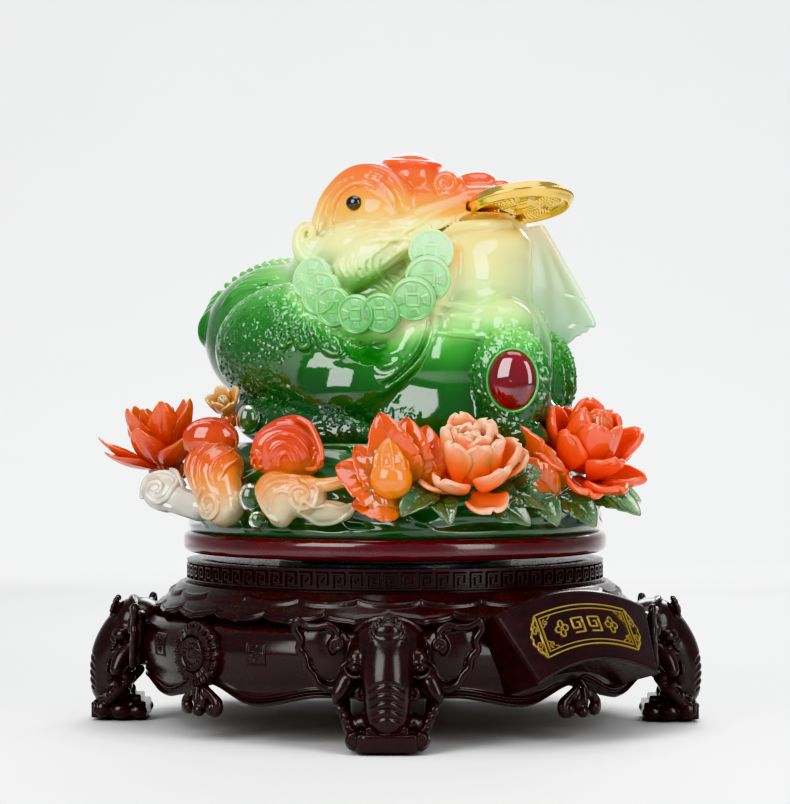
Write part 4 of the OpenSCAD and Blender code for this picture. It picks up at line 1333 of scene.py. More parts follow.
def petal(length, width, opens, cup=0.8, point=0.0, ruffle=0.0, phase=0.0, ribs=0.0, nv=20, nu=15, base=0.3):
    """Petal with x away from the flower's axis, y across and z along the axis.
    opens lists its angle from the axis, from base to tip."""
    v = np.linspace(0, 1, nv)
    angle = np.radians(np.interp(v, np.linspace(0, 1, len(opens)), opens))
    x = np.concatenate([[0], np.cumsum(np.sin(angle[1:]))]) * length / (nv - 1)
    z = np.concatenate([[0], np.cumsum(np.cos(angle[1:]))]) * length / (nv - 1)
    rounded = np.sqrt(np.clip(1 - (np.clip(v - 0.5, 0, 1) / 0.505) ** 2.4, 0, 1))
    broad = (base + (1 - base) * smooth_step(v / 0.55)) * rounded
    slim = (base * (1 - v) + np.sin(math.pi * np.clip(v, 0, 1) ** 0.75)) * (1 - v ** 8)
    w = np.maximum(width / 2 * (broad * (1 - point) + slim * point), 0.25)[:, None]
    u = np.linspace(-1, 1, nu)[None, :]
    bend = width / 2 / max(cup, 0.05)
    side = bend * np.sin(u * w / bend)
    inward = bend * (1 - np.cos(u * w / bend))
    inward = (inward + ruffle * v[:, None] ** 2 * np.sin(u * 4.2 + phase)
              + ribs * np.cos(u * 14) * np.sin(math.pi * v[:, None]))
    px = x[:, None] - inward * np.cos(angle)[:, None]
    pz = z[:, None] + inward * np.sin(angle)[:, None]
    return np.stack([px, side, pz], -1)


class Bloom(Mesh):
    """Collects petals and keeps how far each point is from its petal's base, from 0 to 1."""

    def __init__(self):
        super().__init__()
        self.tips = []

    def add_sheet(self, points, thick, move):
        both, faces, tip = sheet_shell(move(points), thick)
        self.add(both, faces)
        self.tips.append(tip)

    def add_solid(self, points, faces, tip=0.0):
        self.add(points, faces)
        self.tips.append(np.full(len(points), tip))

    def bloom(self, name):
        piece = self.piece(name)
        layer = piece.data.attributes.new("tip", "FLOAT", "POINT")
        layer.data.foreach_set("value", np.concatenate(self.tips).astype(np.float32))
        return piece


def axes_for(tilt, towards):
    """Rotation matrix that tilts +Z by tilt degrees towards a compass direction in degrees from +X."""
    return turned("z", towards) @ turned("y", tilt) @ turned("z", -towards)


def flower(bloom, centre, tilt, towards, rings, thick):
    """rings: (petals, start angle, radius at base, height, length, width, opens, extras)."""
    axes = axes_for(tilt, towards)
    for count, start, radius, height, length, width, opens, extra in rings:
        for i in range(count):
            wobble = math.sin(7.3 * i + start)
            turn = turned("z", start + 360 * i / count + 7 * wobble)
            shape = petal(length * (1 + 0.08 * wobble), width * (1 - 0.07 * wobble),
                          [o + 7 * math.sin(3.1 * i + start) for o in opens], phase=2.1 * i, **extra)
            shape = shape + [radius, 0, height]
            bloom.add_sheet(shape, thick, lambda p: p @ turn.T @ axes.T + np.array(centre))


def ball_points(centre, radii, n=16, bumps=0.0):
    """Closed ball of quads with pinched poles."""
    a = full_turn(2 * n)[:, None]
    b = np.linspace(-math.pi / 2 + 0.02, math.pi / 2 - 0.02, n)[None, :]
    r = 1 + bumps * np.cos(6 * a) * np.cos(8 * b)
    p = np.stack([r * np.cos(a) * np.cos(b), r * np.sin(a) * np.cos(b), r * np.sin(b) + 0 * a],
                 -1).reshape(-1, 3)
    return p * radii + np.array(centre), grid_faces(2 * n, n, False, True)


def leaf_sheet(root, tip, length_side, width, bow=4.0, fold=0.35, lobes=5, veins=7, nv=46, nu=25,
               face=(0, -1, 0.4)):
    """Veined, notched leaf from its root to its tip. face is the way its upper side looks."""
    root, tip = np.array(root, float), np.array(tip, float)
    along = tip - root
    length = np.linalg.norm(along)
    along /= length
    up = np.array(face, float)
    up -= along * (up @ along)
    up /= np.linalg.norm(up)
    across = np.cross(up, along)
    v = np.linspace(0, 1, nv)[:, None]
    u = np.linspace(-1, 1, nu)[None, :]
    outline = np.sin(math.pi * np.clip(v, 0, 1) ** 0.78) ** 0.6
    notch = 1 - 0.15 * ((v * lobes) % 1) ** 2 * np.sin(math.pi * v)
    w = np.maximum(width / 2 * outline * notch, 0.3)
    lift = (bow * np.sin(math.pi * v) + fold * np.abs(u) * w - 0.10 * width * v * v
            + 0.6 * np.sin(5 * v + 3 * u))
    vein = ((v * veins - 1.5 * np.abs(u)) % 1) - 0.5
    veined = 0.38 * (0.5 - ridge(vein, 0.12)) * np.sin(math.pi * np.clip(v, 0, 1)) * (1 - np.abs(u) ** 8)
    lift = lift + veined - 0.8 * ridge(u, 0.07) * (1 - v)
    return (root + along * (v * length)[..., None] + across * (u * w)[..., None]
            + up * lift[..., None] + length_side * across * (np.sin(math.pi * v) * 1.0)[..., None])


def add_leaves(bloom, leaves, thick=1.7):
    for root, tip, width, face, curl in leaves:
        bloom.add_sheet(leaf_sheet(root, tip, curl, width, face=face), thick, lambda p: p)


def lotus_piece(material):
    b = Bloom()
    centre = (-119, -36, 136)
    flower(b, centre, 10, 230, [
        (5, 10, 4.0, 4, 28, 20, (30, 8, 2), dict(cup=0.9, point=0.55, ribs=0.35)),
        (6, 35, 5.0, 2, 34, 22, (46, 20, 4), dict(cup=0.85, point=0.55, ribs=0.4)),
        (6, 5, 4.5, 0, 33, 21, (76, 48, 28), dict(cup=0.85, point=0.55, ribs=0.4)),
        (1, 205, 4.0, -1, 33, 22, (92, 72, 48), dict(cup=0.85, point=0.55, ribs=0.3)),
    ], 1.6)
    pod = relief_disc(96, lambda a: 9.0 + 0.35 * np.cos(24 * a), lambda a: 0 * a + 0.05,
                      lambda r, a: 16 - 0.12 * r * r + 0.5 * np.cos(24 * a) * (r > 6),
                      lambda r, a: 0 * r - 3, 14)
    b.add_solid(pod[0] @ axes_for(10, 230).T + np.array(centre), pod[1], 0.15)
    b.add_solid(*ball_points((-114, -36, 133), (7, 7, 6), 12), 0.0)
    return placed(b.bloom("lotus_bloom"), "turntable", "red_resin", material, "lotus")


def blossom_piece(material):
    b = Bloom()
    flower(b, (-87, -32, 163), 40, 250, [
        (4, 0, 0.8, 1, 10, 8, (10, -8), dict(cup=1.2)),
        (5, 20, 1.6, 0, 14, 11, (48, 24, 10), dict(cup=1.1, ruffle=0.7)),
    ], 1.5)
    b.add_solid(*ball_points((-86, -31, 160), (5, 5, 5), 10), 0.0)
    return placed(b.bloom("little_blossom"), "turntable", "orange_resin", material, "small_blossom")


def peach_piece(material):
    b = Bloom()
    flower(b, (41, -102, 130), 34, -92, [
        (3, 70, 4.0, 10, 19, 17, (0, -18, -34), dict(cup=1.3, ruffle=1.0)),
        (5, 15, 8.5, 9, 22, 21, (4, -4, -10), dict(cup=1.2, ruffle=1.5)),
        (6, 50, 12.0, 6, 24, 22, (10, 4, 0), dict(cup=1.1, ruffle=1.7)),
        (5, 18, 11.0, 1, 24, 26, (66, 44, 14), dict(cup=1.1, ruffle=1.3)),
        (4, 200, 8.0, -2, 24, 26, (98, 78, 46), dict(cup=1.0, ruffle=1.2)),
    ], 3.0)
    b.add_solid(*ball_points((41, -108, 137), (13, 13, 10), 12), 0.0)
    return placed(b.bloom("peach_bloom"), "turntable", "peach_resin", material, "peach_peony")


def red_peony_piece(material):
    b = Bloom()
    flower(b, (96, -60, 136), 36, -56, [
        (3, 40, 3.0, 12, 19, 18, (-4, -30, -50), dict(cup=1.45, ruffle=0.5)),
        (4, 0, 7.0, 10, 24, 23, (6, -14, -34), dict(cup=1.4, ruffle=0.9)),
        (5, 50, 11.0, 6, 27, 25, (20, 2, -20), dict(cup=1.3, ruffle=1.2)),
        (5, 20, 12.0, 2, 26, 24, (46, 26, 4), dict(cup=1.15, ruffle=1.4, point=0.12)),
        (6, 45, 9.0, -2, 29, 24, (86, 70, 42), dict(cup=1.0, ruffle=1.3, point=0.3)),
        (2, 130, 13.0, -3, 28, 26, (70, 52, 24), dict(cup=1.0, ruffle=1.3, point=0.3)),
    ], 3.8)
    b.add_solid(*ball_points((99, -66, 143), (14, 14, 11), 12), 0.0)
    return placed(b.bloom("red_bloom"), "turntable", "orange_resin", material, "red_peony")


def bud_piece(material):
    clay = Clay((-20, -136, 112), (20, -96, 158), 0.6)
    add_eggs(clay, [
        ((1, -118, 131), (10.6, 9.5, 10), 0),
        ((0.5, -116, 140), (8.4, 7.5, 7.5), 2),
        ((0, -116, 145.5), (4.6, 4.5, 5), 2),
    ])
    for i in range(9):
        a = 2 * math.pi * i / 9
        x, y = math.cos(a), math.sin(a)
        line = [(1 + 9.0 * x, -118 + 8.4 * y, 136), (0.6 + 7.6 * x, -117 + 7.2 * y, 142),
                (0.2 + 4.4 * x, -116 + 4.4 * y, 147),
                (0.8 * x, -116 + 0.8 * y, 151)]
        add_tube(clay, line, (0.4, 0.9, 0.8, 0.6), 0.6, 18)
    clay.join(cone((4, -107, 120), (1, -113, 127), 4, 5), 2)
    points, faces = clay.skin()
    b = Bloom()
    b.add_solid(points, faces.tolist(), 0.5)
    return placed(b.bloom("round_bud"), "turntable", "orange_resin", material, "flower_bud")


def orange_leaves_piece(material):
    b = Bloom()
    add_leaves(b, [
        ((10, -108, 128), (-5, -117, 163), 27, (-0.2, -1, 0.1), 0.6),
        ((11, -107, 128), (8, -114, 161), 25, (0, -1, 0.0), 0.0),
        ((11, -107, 128), (19, -111, 157), 24, (0.3, -1, 0.1), -0.8),
        ((6, -113, 119), (-26, -115, 138), 27, (-0.3, -1, 0.5), -0.6),
        ((6, -111, 121), (-17, -115, 147), 23, (-0.1, -1, 0.3), 0.4),
        ((5, -115, 115), (-18, -120, 119), 20, (-0.1, -1, 0.6), 0.8),
    ])
    return placed(b.bloom("amber_leaves"), "turntable", "orange_resin", material, "orange_leaves")


def amber_leaf_piece(material):
    """Broad dark amber leaves that carry the red peony."""
    b = Bloom()
    add_leaves(b, [
        ((86, -76, 124), (60, -78, 158), 24, (-0.5, -1, 0.3), 0.6),
        ((84, -80, 120), (57, -88, 140), 20, (-0.2, -1, 0.5), -0.6),
        ((60, -92, 124), (62, -84, 148), 16, (0.2, -1, 0.2), 0.4),
    ], 2.0)
    return placed(b.bloom("amber_carriers"), "turntable", "orange_resin", material)


def green_leaves_piece(material):
    b = Bloom()
    add_leaves(b, [
        ((22, -108, 124), (6, -121, 114), 19, (0, -1, 1.0), 0.6),
        ((24, -110, 118), (30, -125, 110), 15, (0, -1, 1.1), 0.4),
        ((44, -106, 118), (70, -108, 109), 20, (0.1, -1, 1.0), -0.6),
        ((52, -102, 122), (80, -96, 116), 18, (0.2, -1, 0.9), 0.6),
        ((70, -92, 120), (84, -98, 108), 17, (0.2, -1, 0.7), 0.5),
        ((84, -82, 120), (104, -82, 107), 20, (0.5, -1, 0.7), -0.5),
        ((96, -60, 122), (128, -58, 112), 20, (0.6, -1, 0.8), 0.5),
        ((100, -40, 120), (130, -30, 118), 20, (1, -0.4, 0.9), 0.5),
        ((60, -98, 128), (76, -96, 134), 14, (0.3, -1, 0.6), 0.4),
    ])
    for at, size in (((-70, -95, 121), (6.5, 5.5, 7.5)), ((-75, -46, 160), (6.5, 6, 8)),
                     ((-66, -98, 110), (5, 4.5, 5))):
        b.add_solid(*ball_points(at, size, 14), 0.35)
    return placed(b.bloom("glass_leaves"), "turntable", "green_resin", material, "green_leaves")


# ---------------------------------------------------------------- clouds and the mound

def strokes_on(clay, origin, across, up, out, strokes, blend=0.5):
    """Rolled strokes drawn on a slanted plane: each is (points of x, y and lift, radii)."""
    origin, across, up, out = [np.array(v, float) for v in (origin, across, up, out)]
    for path, radii in strokes:
        line = [origin + p[0] * across + p[1] * up + (p[2] if len(p) > 2 else 0) * out for p in path]
        line = clay.hug(curve(line, 6 * len(path)), out, 0.5 * max(radii))
        add_tube(clay, line, radii, blend, 6 * len(path))


def curl_path(x, y, r0, r1, start, sweep, lift0=0.0, lift1=0.0, n=12):
    t = np.linspace(0, 1, n)
    a = np.radians(start + sweep * t)
    r = r0 + (r1 - r0) * t
    lift = lift0 + (lift1 - lift0) * t
    return [(x + rr * math.cos(b), y + rr * math.sin(b), s) for rr, b, s in zip(r, a, lift)]


def facing(direction, lean=0.0):
    """Across, up and out directions of a plane that looks a way given in degrees from +X."""
    a, b = math.radians(direction), math.radians(lean)
    out = np.array([math.cos(a) * math.cos(b), math.sin(a) * math.cos(b), math.sin(b)])
    across = np.array([-math.sin(a), math.cos(a), 0])
    return across, np.cross(out, across), out


def cloud_bank_piece(material):
    clay = Clay((-146, -112, 98), (-64, -30, 168), 0.6)
    # orange disc-like puff at the top, with a fine rim
    across, up, out = facing(238, 6)
    clay.join(egg((-93, -62, 150), (14.5, 9, 11.5)))
    strokes_on(clay, (-93, -66, 149), across, up, out, [
        ([(-12.5, -5, 0), (-11.5, 3, 1), (-6.5, 8.6, 1), (0, 10, 1), (6.5, 8.6, 1), (11.5, 3, 1),
          (12.5, -5, 0)], (0.6, 0.9, 1.0, 0.9, 0.6)),
    ], 0.3)
    # large striped puff that runs down into a curl
    across, up, out = facing(240, 5)
    origin = (-90, -84, 128)
    clay.join(egg((-90, -78, 136), (15.5, 11, 12.5)), 1)
    clay.join(cone((-89, -82, 132), (-84, -89, 117), 13, 11), 3)
    strokes_on(clay, origin, across, up, out, [
        ([(-10.5, 15, 0), (-11.5, 6, 3), (-8, -5, 6), (-3.5, -12, 7)], (0.5, 1.0, 1.1, 0.5)),
        ([(-5, 18, 1), (-7, 9, 6.5), (-5, -1, 8.5), (-1, -7, 8.5)], (0.5, 1.1, 1.1, 0.5)),
        ([(2, 20.5, 1), (-2, 11, 7.5), (-1.5, 1, 9.5), (1, -5, 9)], (0.5, 1.0, 1.1, 0.5)),
        ([(9, 18.5, 1), (5.5, 10, 7), (5.5, 3, 8.5), (8, -2, 8)], (0.5, 1.0, 1.0, 0.5)),
        ([(12, 13, 0), (10.5, 6, 4), (10, 1, 5)], (0.5, 1.0, 0.5)),
        (curl_path(5.5, -11, 8.6, 1.4, 120, 560, 5, 9.5), (1.3, 1.6, 1.4, 0.9)),
    ], 0.25)
    clay.join(egg((-86, -91, 116), (7, 5, 7)), 1)
    return cast(clay, "cloud_bank_casting", "orange_resin", material, "cloud_bank")


def white_curl_piece(material):
    """Pale cloud that curls up at the left end of the bank."""
    clay = Clay((-140, -88, 106), (-92, -36, 144), 0.5)
    clay.join(egg((-117, -58, 123), (12, 8.5, 10.5)), 1)
    clay.join(cone((-113, -60, 120), (-98, -70, 115), 8, 7), 3)
    across, up, out = facing(228, 4)
    strokes_on(clay, (-115, -62, 125), across, up, out, [
        (curl_path(-1.5, -1, 10.4, 1.4, 205, -640, 1, 7), (1.3, 1.6, 1.5, 0.9)),
        ([(4, 9.5, 2), (9, 8, 2.4), (15, 1, 3)], (0.9, 1.2, 0.7)),
    ], 0.25)
    return cast(clay, "white_curl", "orange_resin", material)


def ruyi_piece(material):
    clay = Clay((-82, -118, 122), (-22, -78, 168), 0.55)
    across, up, out = facing(243, 6)
    origin = (-51, -97, 140)
    clay.join(egg((-52, -95, 146), (17.5, 6.5, 14)))
    clay.join(egg((-51, -91, 137), (16, 7, 7)), 3)
    strokes_on(clay, origin, across, up, out, [
        ([(-12, -4, 2), (-17, -4.5, 2), (-20, 1, 1), (-18.5, 9, 0.5), (-13.5, 15.5, 0), (-6, 19.5, 0),
          (3, 21, 0), (11, 17.5, 0),
          (16.5, 10, 0.5), (19.5, 2, 1), (17, -4, 2), (12, -4.5, 2)],
          (1.0, 1.4, 1.6, 1.7, 1.7, 1.7, 1.6, 1.4, 1.0)),
        ([(-14.5, 4, 3), (-12, 11, 3.4), (-5, 15.5, 3.4), (3, 16.6, 3.4), (10, 13, 3.4), (14.5, 5, 3)],
         (0.6, 1.0, 1.1, 1.0, 0.6)),
        ([(-10.5, 2, 4.6), (-8, 8, 5), (-2, 12, 5), (4.5, 11.6, 5), (9.5, 6.5, 5), (11, 1, 4.6)],
         (0.6, 1.0, 1.1, 1.0, 0.6)),
        ([(-6.5, -1, 5.4), (-5, 4.5, 5.8), (0, 7.8, 6), (5, 5, 5.8), (6.8, -1, 5.4)],
         (0.6, 1.0, 1.0, 1.0, 0.6)),
        ([(-2.5, -4, 5.8), (-1.5, 1, 6.2), (1.5, 3, 6.2), (3.5, -1, 6), (3.5, -5, 5.4)],
         (0.5, 0.9, 1.0, 0.9, 0.5)),
        (curl_path(-15, -0.5, 4.6, 1.0, 200, -440, 2.5, 5), (1.1, 1.1, 0.8)),
        (curl_path(14.6, -0.5, 4.6, 1.0, -20, 440, 2.5, 5), (1.1, 1.1, 0.8)),
    ], 0.25)
    return cast(clay, "ruyi_casting", "red_resin", material, "ruyi_cloud")


def spiral_piece(material):
    clay = Clay((-80, -130, 98), (-12, -88, 142), 0.55)
    across, up, out = facing(246, 4)
    clay.join(cone((-57, -105, 125), (-54, -107, 113), 9.5, 6.5))
    clay.join(cone((-57, -105, 124), (-42, -108, 122), 9.5, 11), 3)
    strokes_on(clay, (-50, -111, 120), across, up, out, [
        ([(-4, -10, 1), (-9, -7.5, 2), (-12.5, -1, 2), (-12, 5, 2), (-7.5, 10, 2), (0, 12, 2),
          (7, 11, 2.5), (13, 7, 3)], (0.9, 1.3, 1.4, 1.4, 1.3, 0.9)),
        ([(-9.5, -4, 3.4), (-10.5, 2.5, 4), (-6, 8, 4.4), (1, 9.4, 4.4), (6, 8, 4)], (0.5, 0.9, 1.0, 0.6)),
        ([(-5.6, -5, 4.4), (-6, 0, 4.8), (-2, 4.4, 5), (2.6, 4, 4.6)], (0.5, 0.9, 0.9, 0.5)),
        (curl_path(8.6, 2.4, 8.2, 1.2, 95, -700, 2.6, 6.4), (1.0, 1.2, 1.1, 0.7)),
    ], 0.25)
    # small ingot with its outline, and the stem beside it
    clay.join(egg((-31, -110, 114.5), (13.5, 5, 6)), 0.8)
    across, up, out = facing(254, 12)
    strokes_on(clay, (-32, -113, 114), across, up, out, [
        ([(-11, -1, 0), (-4, -5, 0), (5, -4, 0), (12, 1, 0), (13, 5, 0), (7, 3, 0), (2, 4, 0), (-4, 2, 0),
          (-8, 4, 0), (-11, -1, 0)],
         (0.9, 1.1, 1.1, 1.1, 0.9)),
    ], 0.25)
    add_tube(clay, [(-40, -110, 129), (-32, -113, 128), (-22, -114, 130)], (2.2, 3.2, 2.8), 1.0, 16)
    return cast(clay, "spiral_casting", "orange_resin", material, "spiral_cloud")


def mound_piece(material):
    n, a = 540, full_turn(540)[:, None]
    z = np.linspace(0.15, 46.9, 84)[None, :]
    r = np.interp(z, [0, 4, 12, 24, 36, 47], [109, 111, 109, 104, 97, 86]) + 0 * a
    swell = (2.6 * np.sin(5 * a + 0.13 * z) * np.sin(0.07 * z + 1.1 * np.sin(2 * a))
             + 1.7 * np.sin(11 * a - 0.16 * z))
    crest = np.abs(np.sin(8 * a + 0.09 * z + 1.4 * np.sin(3 * a)))
    ripple = 1.5 * ridge(crest, 0.16) + 0.8 * np.sin(0.62 * z + 3.0 * np.sin(4 * a) + 2 * np.sin(7 * a))
    fade = smooth_step((z - 1.5) / 7) * smooth_step((47 - z) / 4)
    r = r + (swell - 1.2 + ripple) * fade
    r = np.hstack([r, 0 * a + 40, 0 * a + 14.1, 0 * a + 14.1, 0 * a + 60])
    zz = np.hstack([z, [[46.99, 46.99, 0.15, 0.15]]]) + DISC_TOP
    points, faces = lathe(full_turn(n), r, zz)
    return shell_piece("mound_casting", points, faces, "turntable", "green_resin", material, "mound")


# ---------------------------------------------------------------- coins, fin, eyes and stones

def coin_points(radius, thick, hole=0.0, n_round=120, rings=34, both=False):
    """Old round coin about Z: rim, square hole or square, and plain radial strokes between them."""
    def square(r, a):
        return np.maximum(np.abs(r * np.cos(a)), np.abs(r * np.sin(a)))

    def face(r, a):
        s = r / radius
        rim = 0.10 * radius * ridge(s - 0.90, 0.055)
        mid = 0.075 * radius * ridge(square(s, a) - 0.26, 0.04)
        blocks = np.clip(1.6 * np.cos(4 * a) + 0.4, 0, 1)
        strokes = 0.065 * radius * blocks * ridge((s * 13) % 1 - 0.5, 0.25)
        strokes = strokes * smooth_step((0.78 - s) / 0.06) * smooth_step((s - 0.36) / 0.05)
        lines = 0.05 * radius * blocks * ridge((a * 24 / math.pi) % 1 - 0.5, 0.22)
        lines = lines * smooth_step((0.76 - s) / 0.05) * smooth_step((s - 0.38) / 0.05)
        edge = smooth_step((1 - s) / 0.05)
        return thick / 2 * (0.55 + 0.45 * edge) + (rim + mid + strokes + lines) * edge

    def back(r, a):
        return -face(r, a) if both else 0 * r - thick / 2

    def gap(a):
        return hole / square(1, a) if hole else 0 * a + 0.03
    return relief_disc(n_round, lambda a: 0 * a + radius, gap, face, back, rings)


def coin_string_piece(material, side):
    """String of coins that hangs from the mouth corner and runs back over the shoulder."""
    m = Mesh()
    places = [((47.5, 49, 245.5), 11.8, 8, 32, 6), ((47.5, 52.5, 232), 12.0, -14, 30, 7),
              ((41.5, 56.5, 222), 11.6, -20, 20, 7),
              ((25, 60.8, 214.5), 10.6, -12, 8, 4), ((11.5, 62.2, 214), 10.4, -8, 3, 4), ((-2, 61.8, 218),
                      10.6, -4, 0, 4),
              ((-10.5, 60, 225), 11.8, 8, -6, 4), ((-18.5, 56, 233), 11.8, 16, -10, 4)]
    for at, radius, nod, yaw, thick in places:
        points, faces = coin_points(radius, thick)
        look = np.array([math.sin(math.radians(yaw)), 1.0, math.sin(math.radians(nod))])
        look /= np.linalg.norm(look)
        across = np.cross(look, [0, 0, 1.0])
        across /= np.linalg.norm(across)
        up = np.cross(across, look)
        local = points[:, :1] * across + points[:, 1:2] * up + points[:, 2:3] * look + np.array(at)
        local[:, 1] *= side
        world = toad_world(local)
        m.add(world, facing_out(world, faces))
    return placed(m.piece("coin_string_" + ("near" if side > 0 else "far")), "turntable", "green_resin",
                  material)


def fin_piece(material, side):
    """Swept cheek fin whose outer edge has three teeth."""
    nv, nu = 60, 26
    v, u = np.linspace(0, 1, nv)[:, None], np.linspace(0, 1, nu)[None, :]
    root = curve([(62, 26, 262), (60, 30, 244), (57, 33, 226), (56, 36, 202)], nv)
    teeth = 2.4 * ((v[:, 0] * 3.4 + 0.15) % 1) * smooth_step((v[:,
            0] - 0.28) / 0.1) * smooth_step((0.86 - v[:, 0]) / 0.05)
    edge = curve([(72, 33, 264), (80, 40, 246), (87, 45, 228), (93, 49, 213), (89, 49, 204)], nv)
    edge = edge + np.stack([teeth, 0.4 * teeth, -0.5 * teeth], 1)
    points = root[:, None, :] * (1 - u[..., None]) + edge[:, None, :] * u[..., None]
    bow = (3.5 * np.sin(math.pi * u) * np.sin(math.pi * v)
           + 0.45 * np.sin(17 * u + 4 * v) * smooth_step(v * 2) * (1 - u ** 2))
    points[..., 1] += bow
    points[..., 2] -= 5.0 * np.sin(math.pi * u) * smooth_step((v - 0.75) / 0.25)
    points[..., 2] += 5.0 * smooth_step((u - 0.75) / 0.25) * smooth_step((v - 0.9) / 0.1)
    points[..., 1] *= side
    world = toad_world(points.reshape(-1, 3)).reshape(nv, nu, 3)
    both, faces, _ = sheet_shell(world, 5.2)
    return placed(new_mesh("cheek_fin_" + ("near" if side > 0 else "far"), both, faces), "turntable",
                  "jade_resin", material)


def stones_pieces(stone, rim_material):
    """Oval cabochons, each in a fine pale rim."""
    m, rims = Mesh(), Mesh()
    for side, forward in STONE_SIDES:
        turn = turned("z", -side * STONE_YAW)
        middle = np.array([forward, side * 41.0, STONE_Z])
        a = full_turn(96)[:, None]
        t = np.concatenate([np.linspace(0.01, 1, 22), [0.98]])[None, :]
        lift = 6.4 * np.sqrt(np.clip(1 - t ** 2.4, 0, 1))
        lift[:, -1] = -5.0
        shape = np.stack([12.6 * t * np.cos(a), side * (lift + 0 * a), 15.6 * t * np.sin(a)],
                         -1).reshape(-1, 3)
        world = toad_world(shape @ turn.T + middle)
        m.add(world, facing_out(world, grid_faces(96, t.shape[1], True, True)))
        b = full_turn(20)[None, :]
        shape = np.stack([(12.9 + 0.8 * np.cos(b)) * np.cos(a), side * (0.9 + 1.1 * np.sin(b) + 0 * a),
                          (15.9 + 0.8 * np.cos(b)) * np.sin(a)], -1).reshape(-1, 3)
        world = toad_world(shape @ turn.T + middle)
        rims.add(world, facing_out(world, grid_faces(96, 20, True, True)))
    placed(m.piece("cabochons"), "turntable", "ruby", stone, "shoulder_stones")
    placed(rims.piece("cabochon_rims"), "turntable", "jade_resin", rim_material)


def eyes_piece(material):
    m = Mesh()
    for side in (-1, 1):
        points, faces = ball_points((-6, side * 34.2, 273.5), (4.6, 3.6, 4.0), 14)
        world = toad_world(points)
        m.add(world, facing_out(world, faces))
    return placed(m.piece("eye_beads"), "turntable", "black_bead", material, "toad_eyes")


def mouth_coin_piece(material):
    centre, slide, side, normal = coin_frame()
    points, faces = coin_points(COIN_R, COIN_T - 1.2, hole=4.5, n_round=240, rings=COIN_RINGS, both=True)
    # a milled edge: fine notches around the rim
    r = np.hypot(points[:, 0], points[:, 1])
    milled = np.where(r > COIN_R - 0.02, -MILLING * (np.arange(len(r)) // (2 * COIN_RINGS) % 2), 0)
    points = points * (1 + milled / COIN_R)[:, None]
    world = centre + points[:, :1] * slide + points[:, 1:2] * side + points[:, 2:3] * normal
    return shell_piece("struck_coin", world, faces, "coin", "gold", material, "mouth_coin")


def petal_material(name, stops, rough=0.08, clear=0.0):
    """Cast resin that changes from a petal's base to its tip."""
    m = Nodes(name)
    tip = m.add("ShaderNodeAttribute")
    tip.attribute_name = "tip"
    m.colour(m.ramp(m.math("ADD", tip.outputs["Fac"], m.clouded(110, 3.0, 0.32), clamp=True), stops))
    translucent(m, radius=(1.0, 0.28, 0.12), depth=0.006, rough=rough, weight=0.55, coat=1.0)
    if clear:
        m.set(Transmission_Weight=clear)
    m.bump(m.noise(800, 2.0), 0.05, 0.0003)
    return m.material


def steel_material(name, dark, bright, rough):
    m = Nodes(name)
    m.mottled(220, 3.0, dark, bright)
    m.set(Metallic=1.0)
    m.uneven(700, 4.0, rough, rough + 0.12)
    m.bump(m.noise(1600, 3.0), 0.10, 0.0002)
    return m.material


def plain_material(name, dark, bright, rough, scale=300, relief=0.3):
    m = Nodes(name)
    m.mottled(scale, 4.0, dark, bright)
    m.set(Roughness=rough)
    m.bump(m.noise(scale * 4, 4.0), relief, 0.0005)
    return m.material


def ruby_material():
    m = Nodes("ruby")
    m.mottled(70, 2.0, (0.10, 0.0, 0.003), (0.20, 0.0, 0.006))
    m.set(Roughness=0.05, Coat_Weight=1.0, Coat_Roughness=0.02, IOR=1.7)
    m.bump(m.noise(400, 2.0), 0.02, 0.0002)
    return m.material


def bead_material():
    m = Nodes("black_bead")
    m.mottled(160, 2.0, (0.004, 0.002, 0.002), (0.014, 0.006, 0.004))
    m.set(Roughness=0.05, Coat_Weight=1.0, Coat_Roughness=0.02)
    return m.material


def carried_over_materials():
    """Every CAD node that keeps its own mesh gets its own look."""
    steel = steel_material("plated_steel", (0.52, 0.53, 0.55), (0.70, 0.71, 0.73), 0.22)
    race = steel_material("pressed_steel", (0.42, 0.43, 0.44), (0.58, 0.59, 0.60), 0.30)
    looks = {
        "felt_pads": plain_material("black_felt", (0.006, 0.006, 0.007), (0.030, 0.030, 0.033), 0.95, 900,
                                    0.8),
        "base_cover": plain_material("brown_board", (0.060, 0.035, 0.020), (0.110, 0.070, 0.042), 0.75,
                                     260, 0.4),
        "ball_cage": plain_material("cage_nylon", (0.62, 0.60, 0.54), (0.74, 0.72, 0.66), 0.45, 120, 0.1),
        "pivot_bush": steel_material("bush_brass", (0.62, 0.42, 0.16), (0.78, 0.56, 0.24), 0.26),
        "lower_race": race, "upper_race": race,
    }
    for node in ("leg_screws", "cover_screws", "lower_race_screws", "pivot_bolt", "pivot_washers",
                 "pivot_nut",
                 "bearing_balls", "upper_race_screws", "mound_screws", "toad_studs", "stud_nuts"):
        looks[node] = steel
    for node, material in looks.items():
        piece = frame["nodes"][node]
        for slot in piece.material_slots:
            slot.link = "OBJECT"
            slot.material = material


# ---------------------------------------------------------------- camera, lights and floor

FLOOR_HALF = 4500        # half of the floor's width


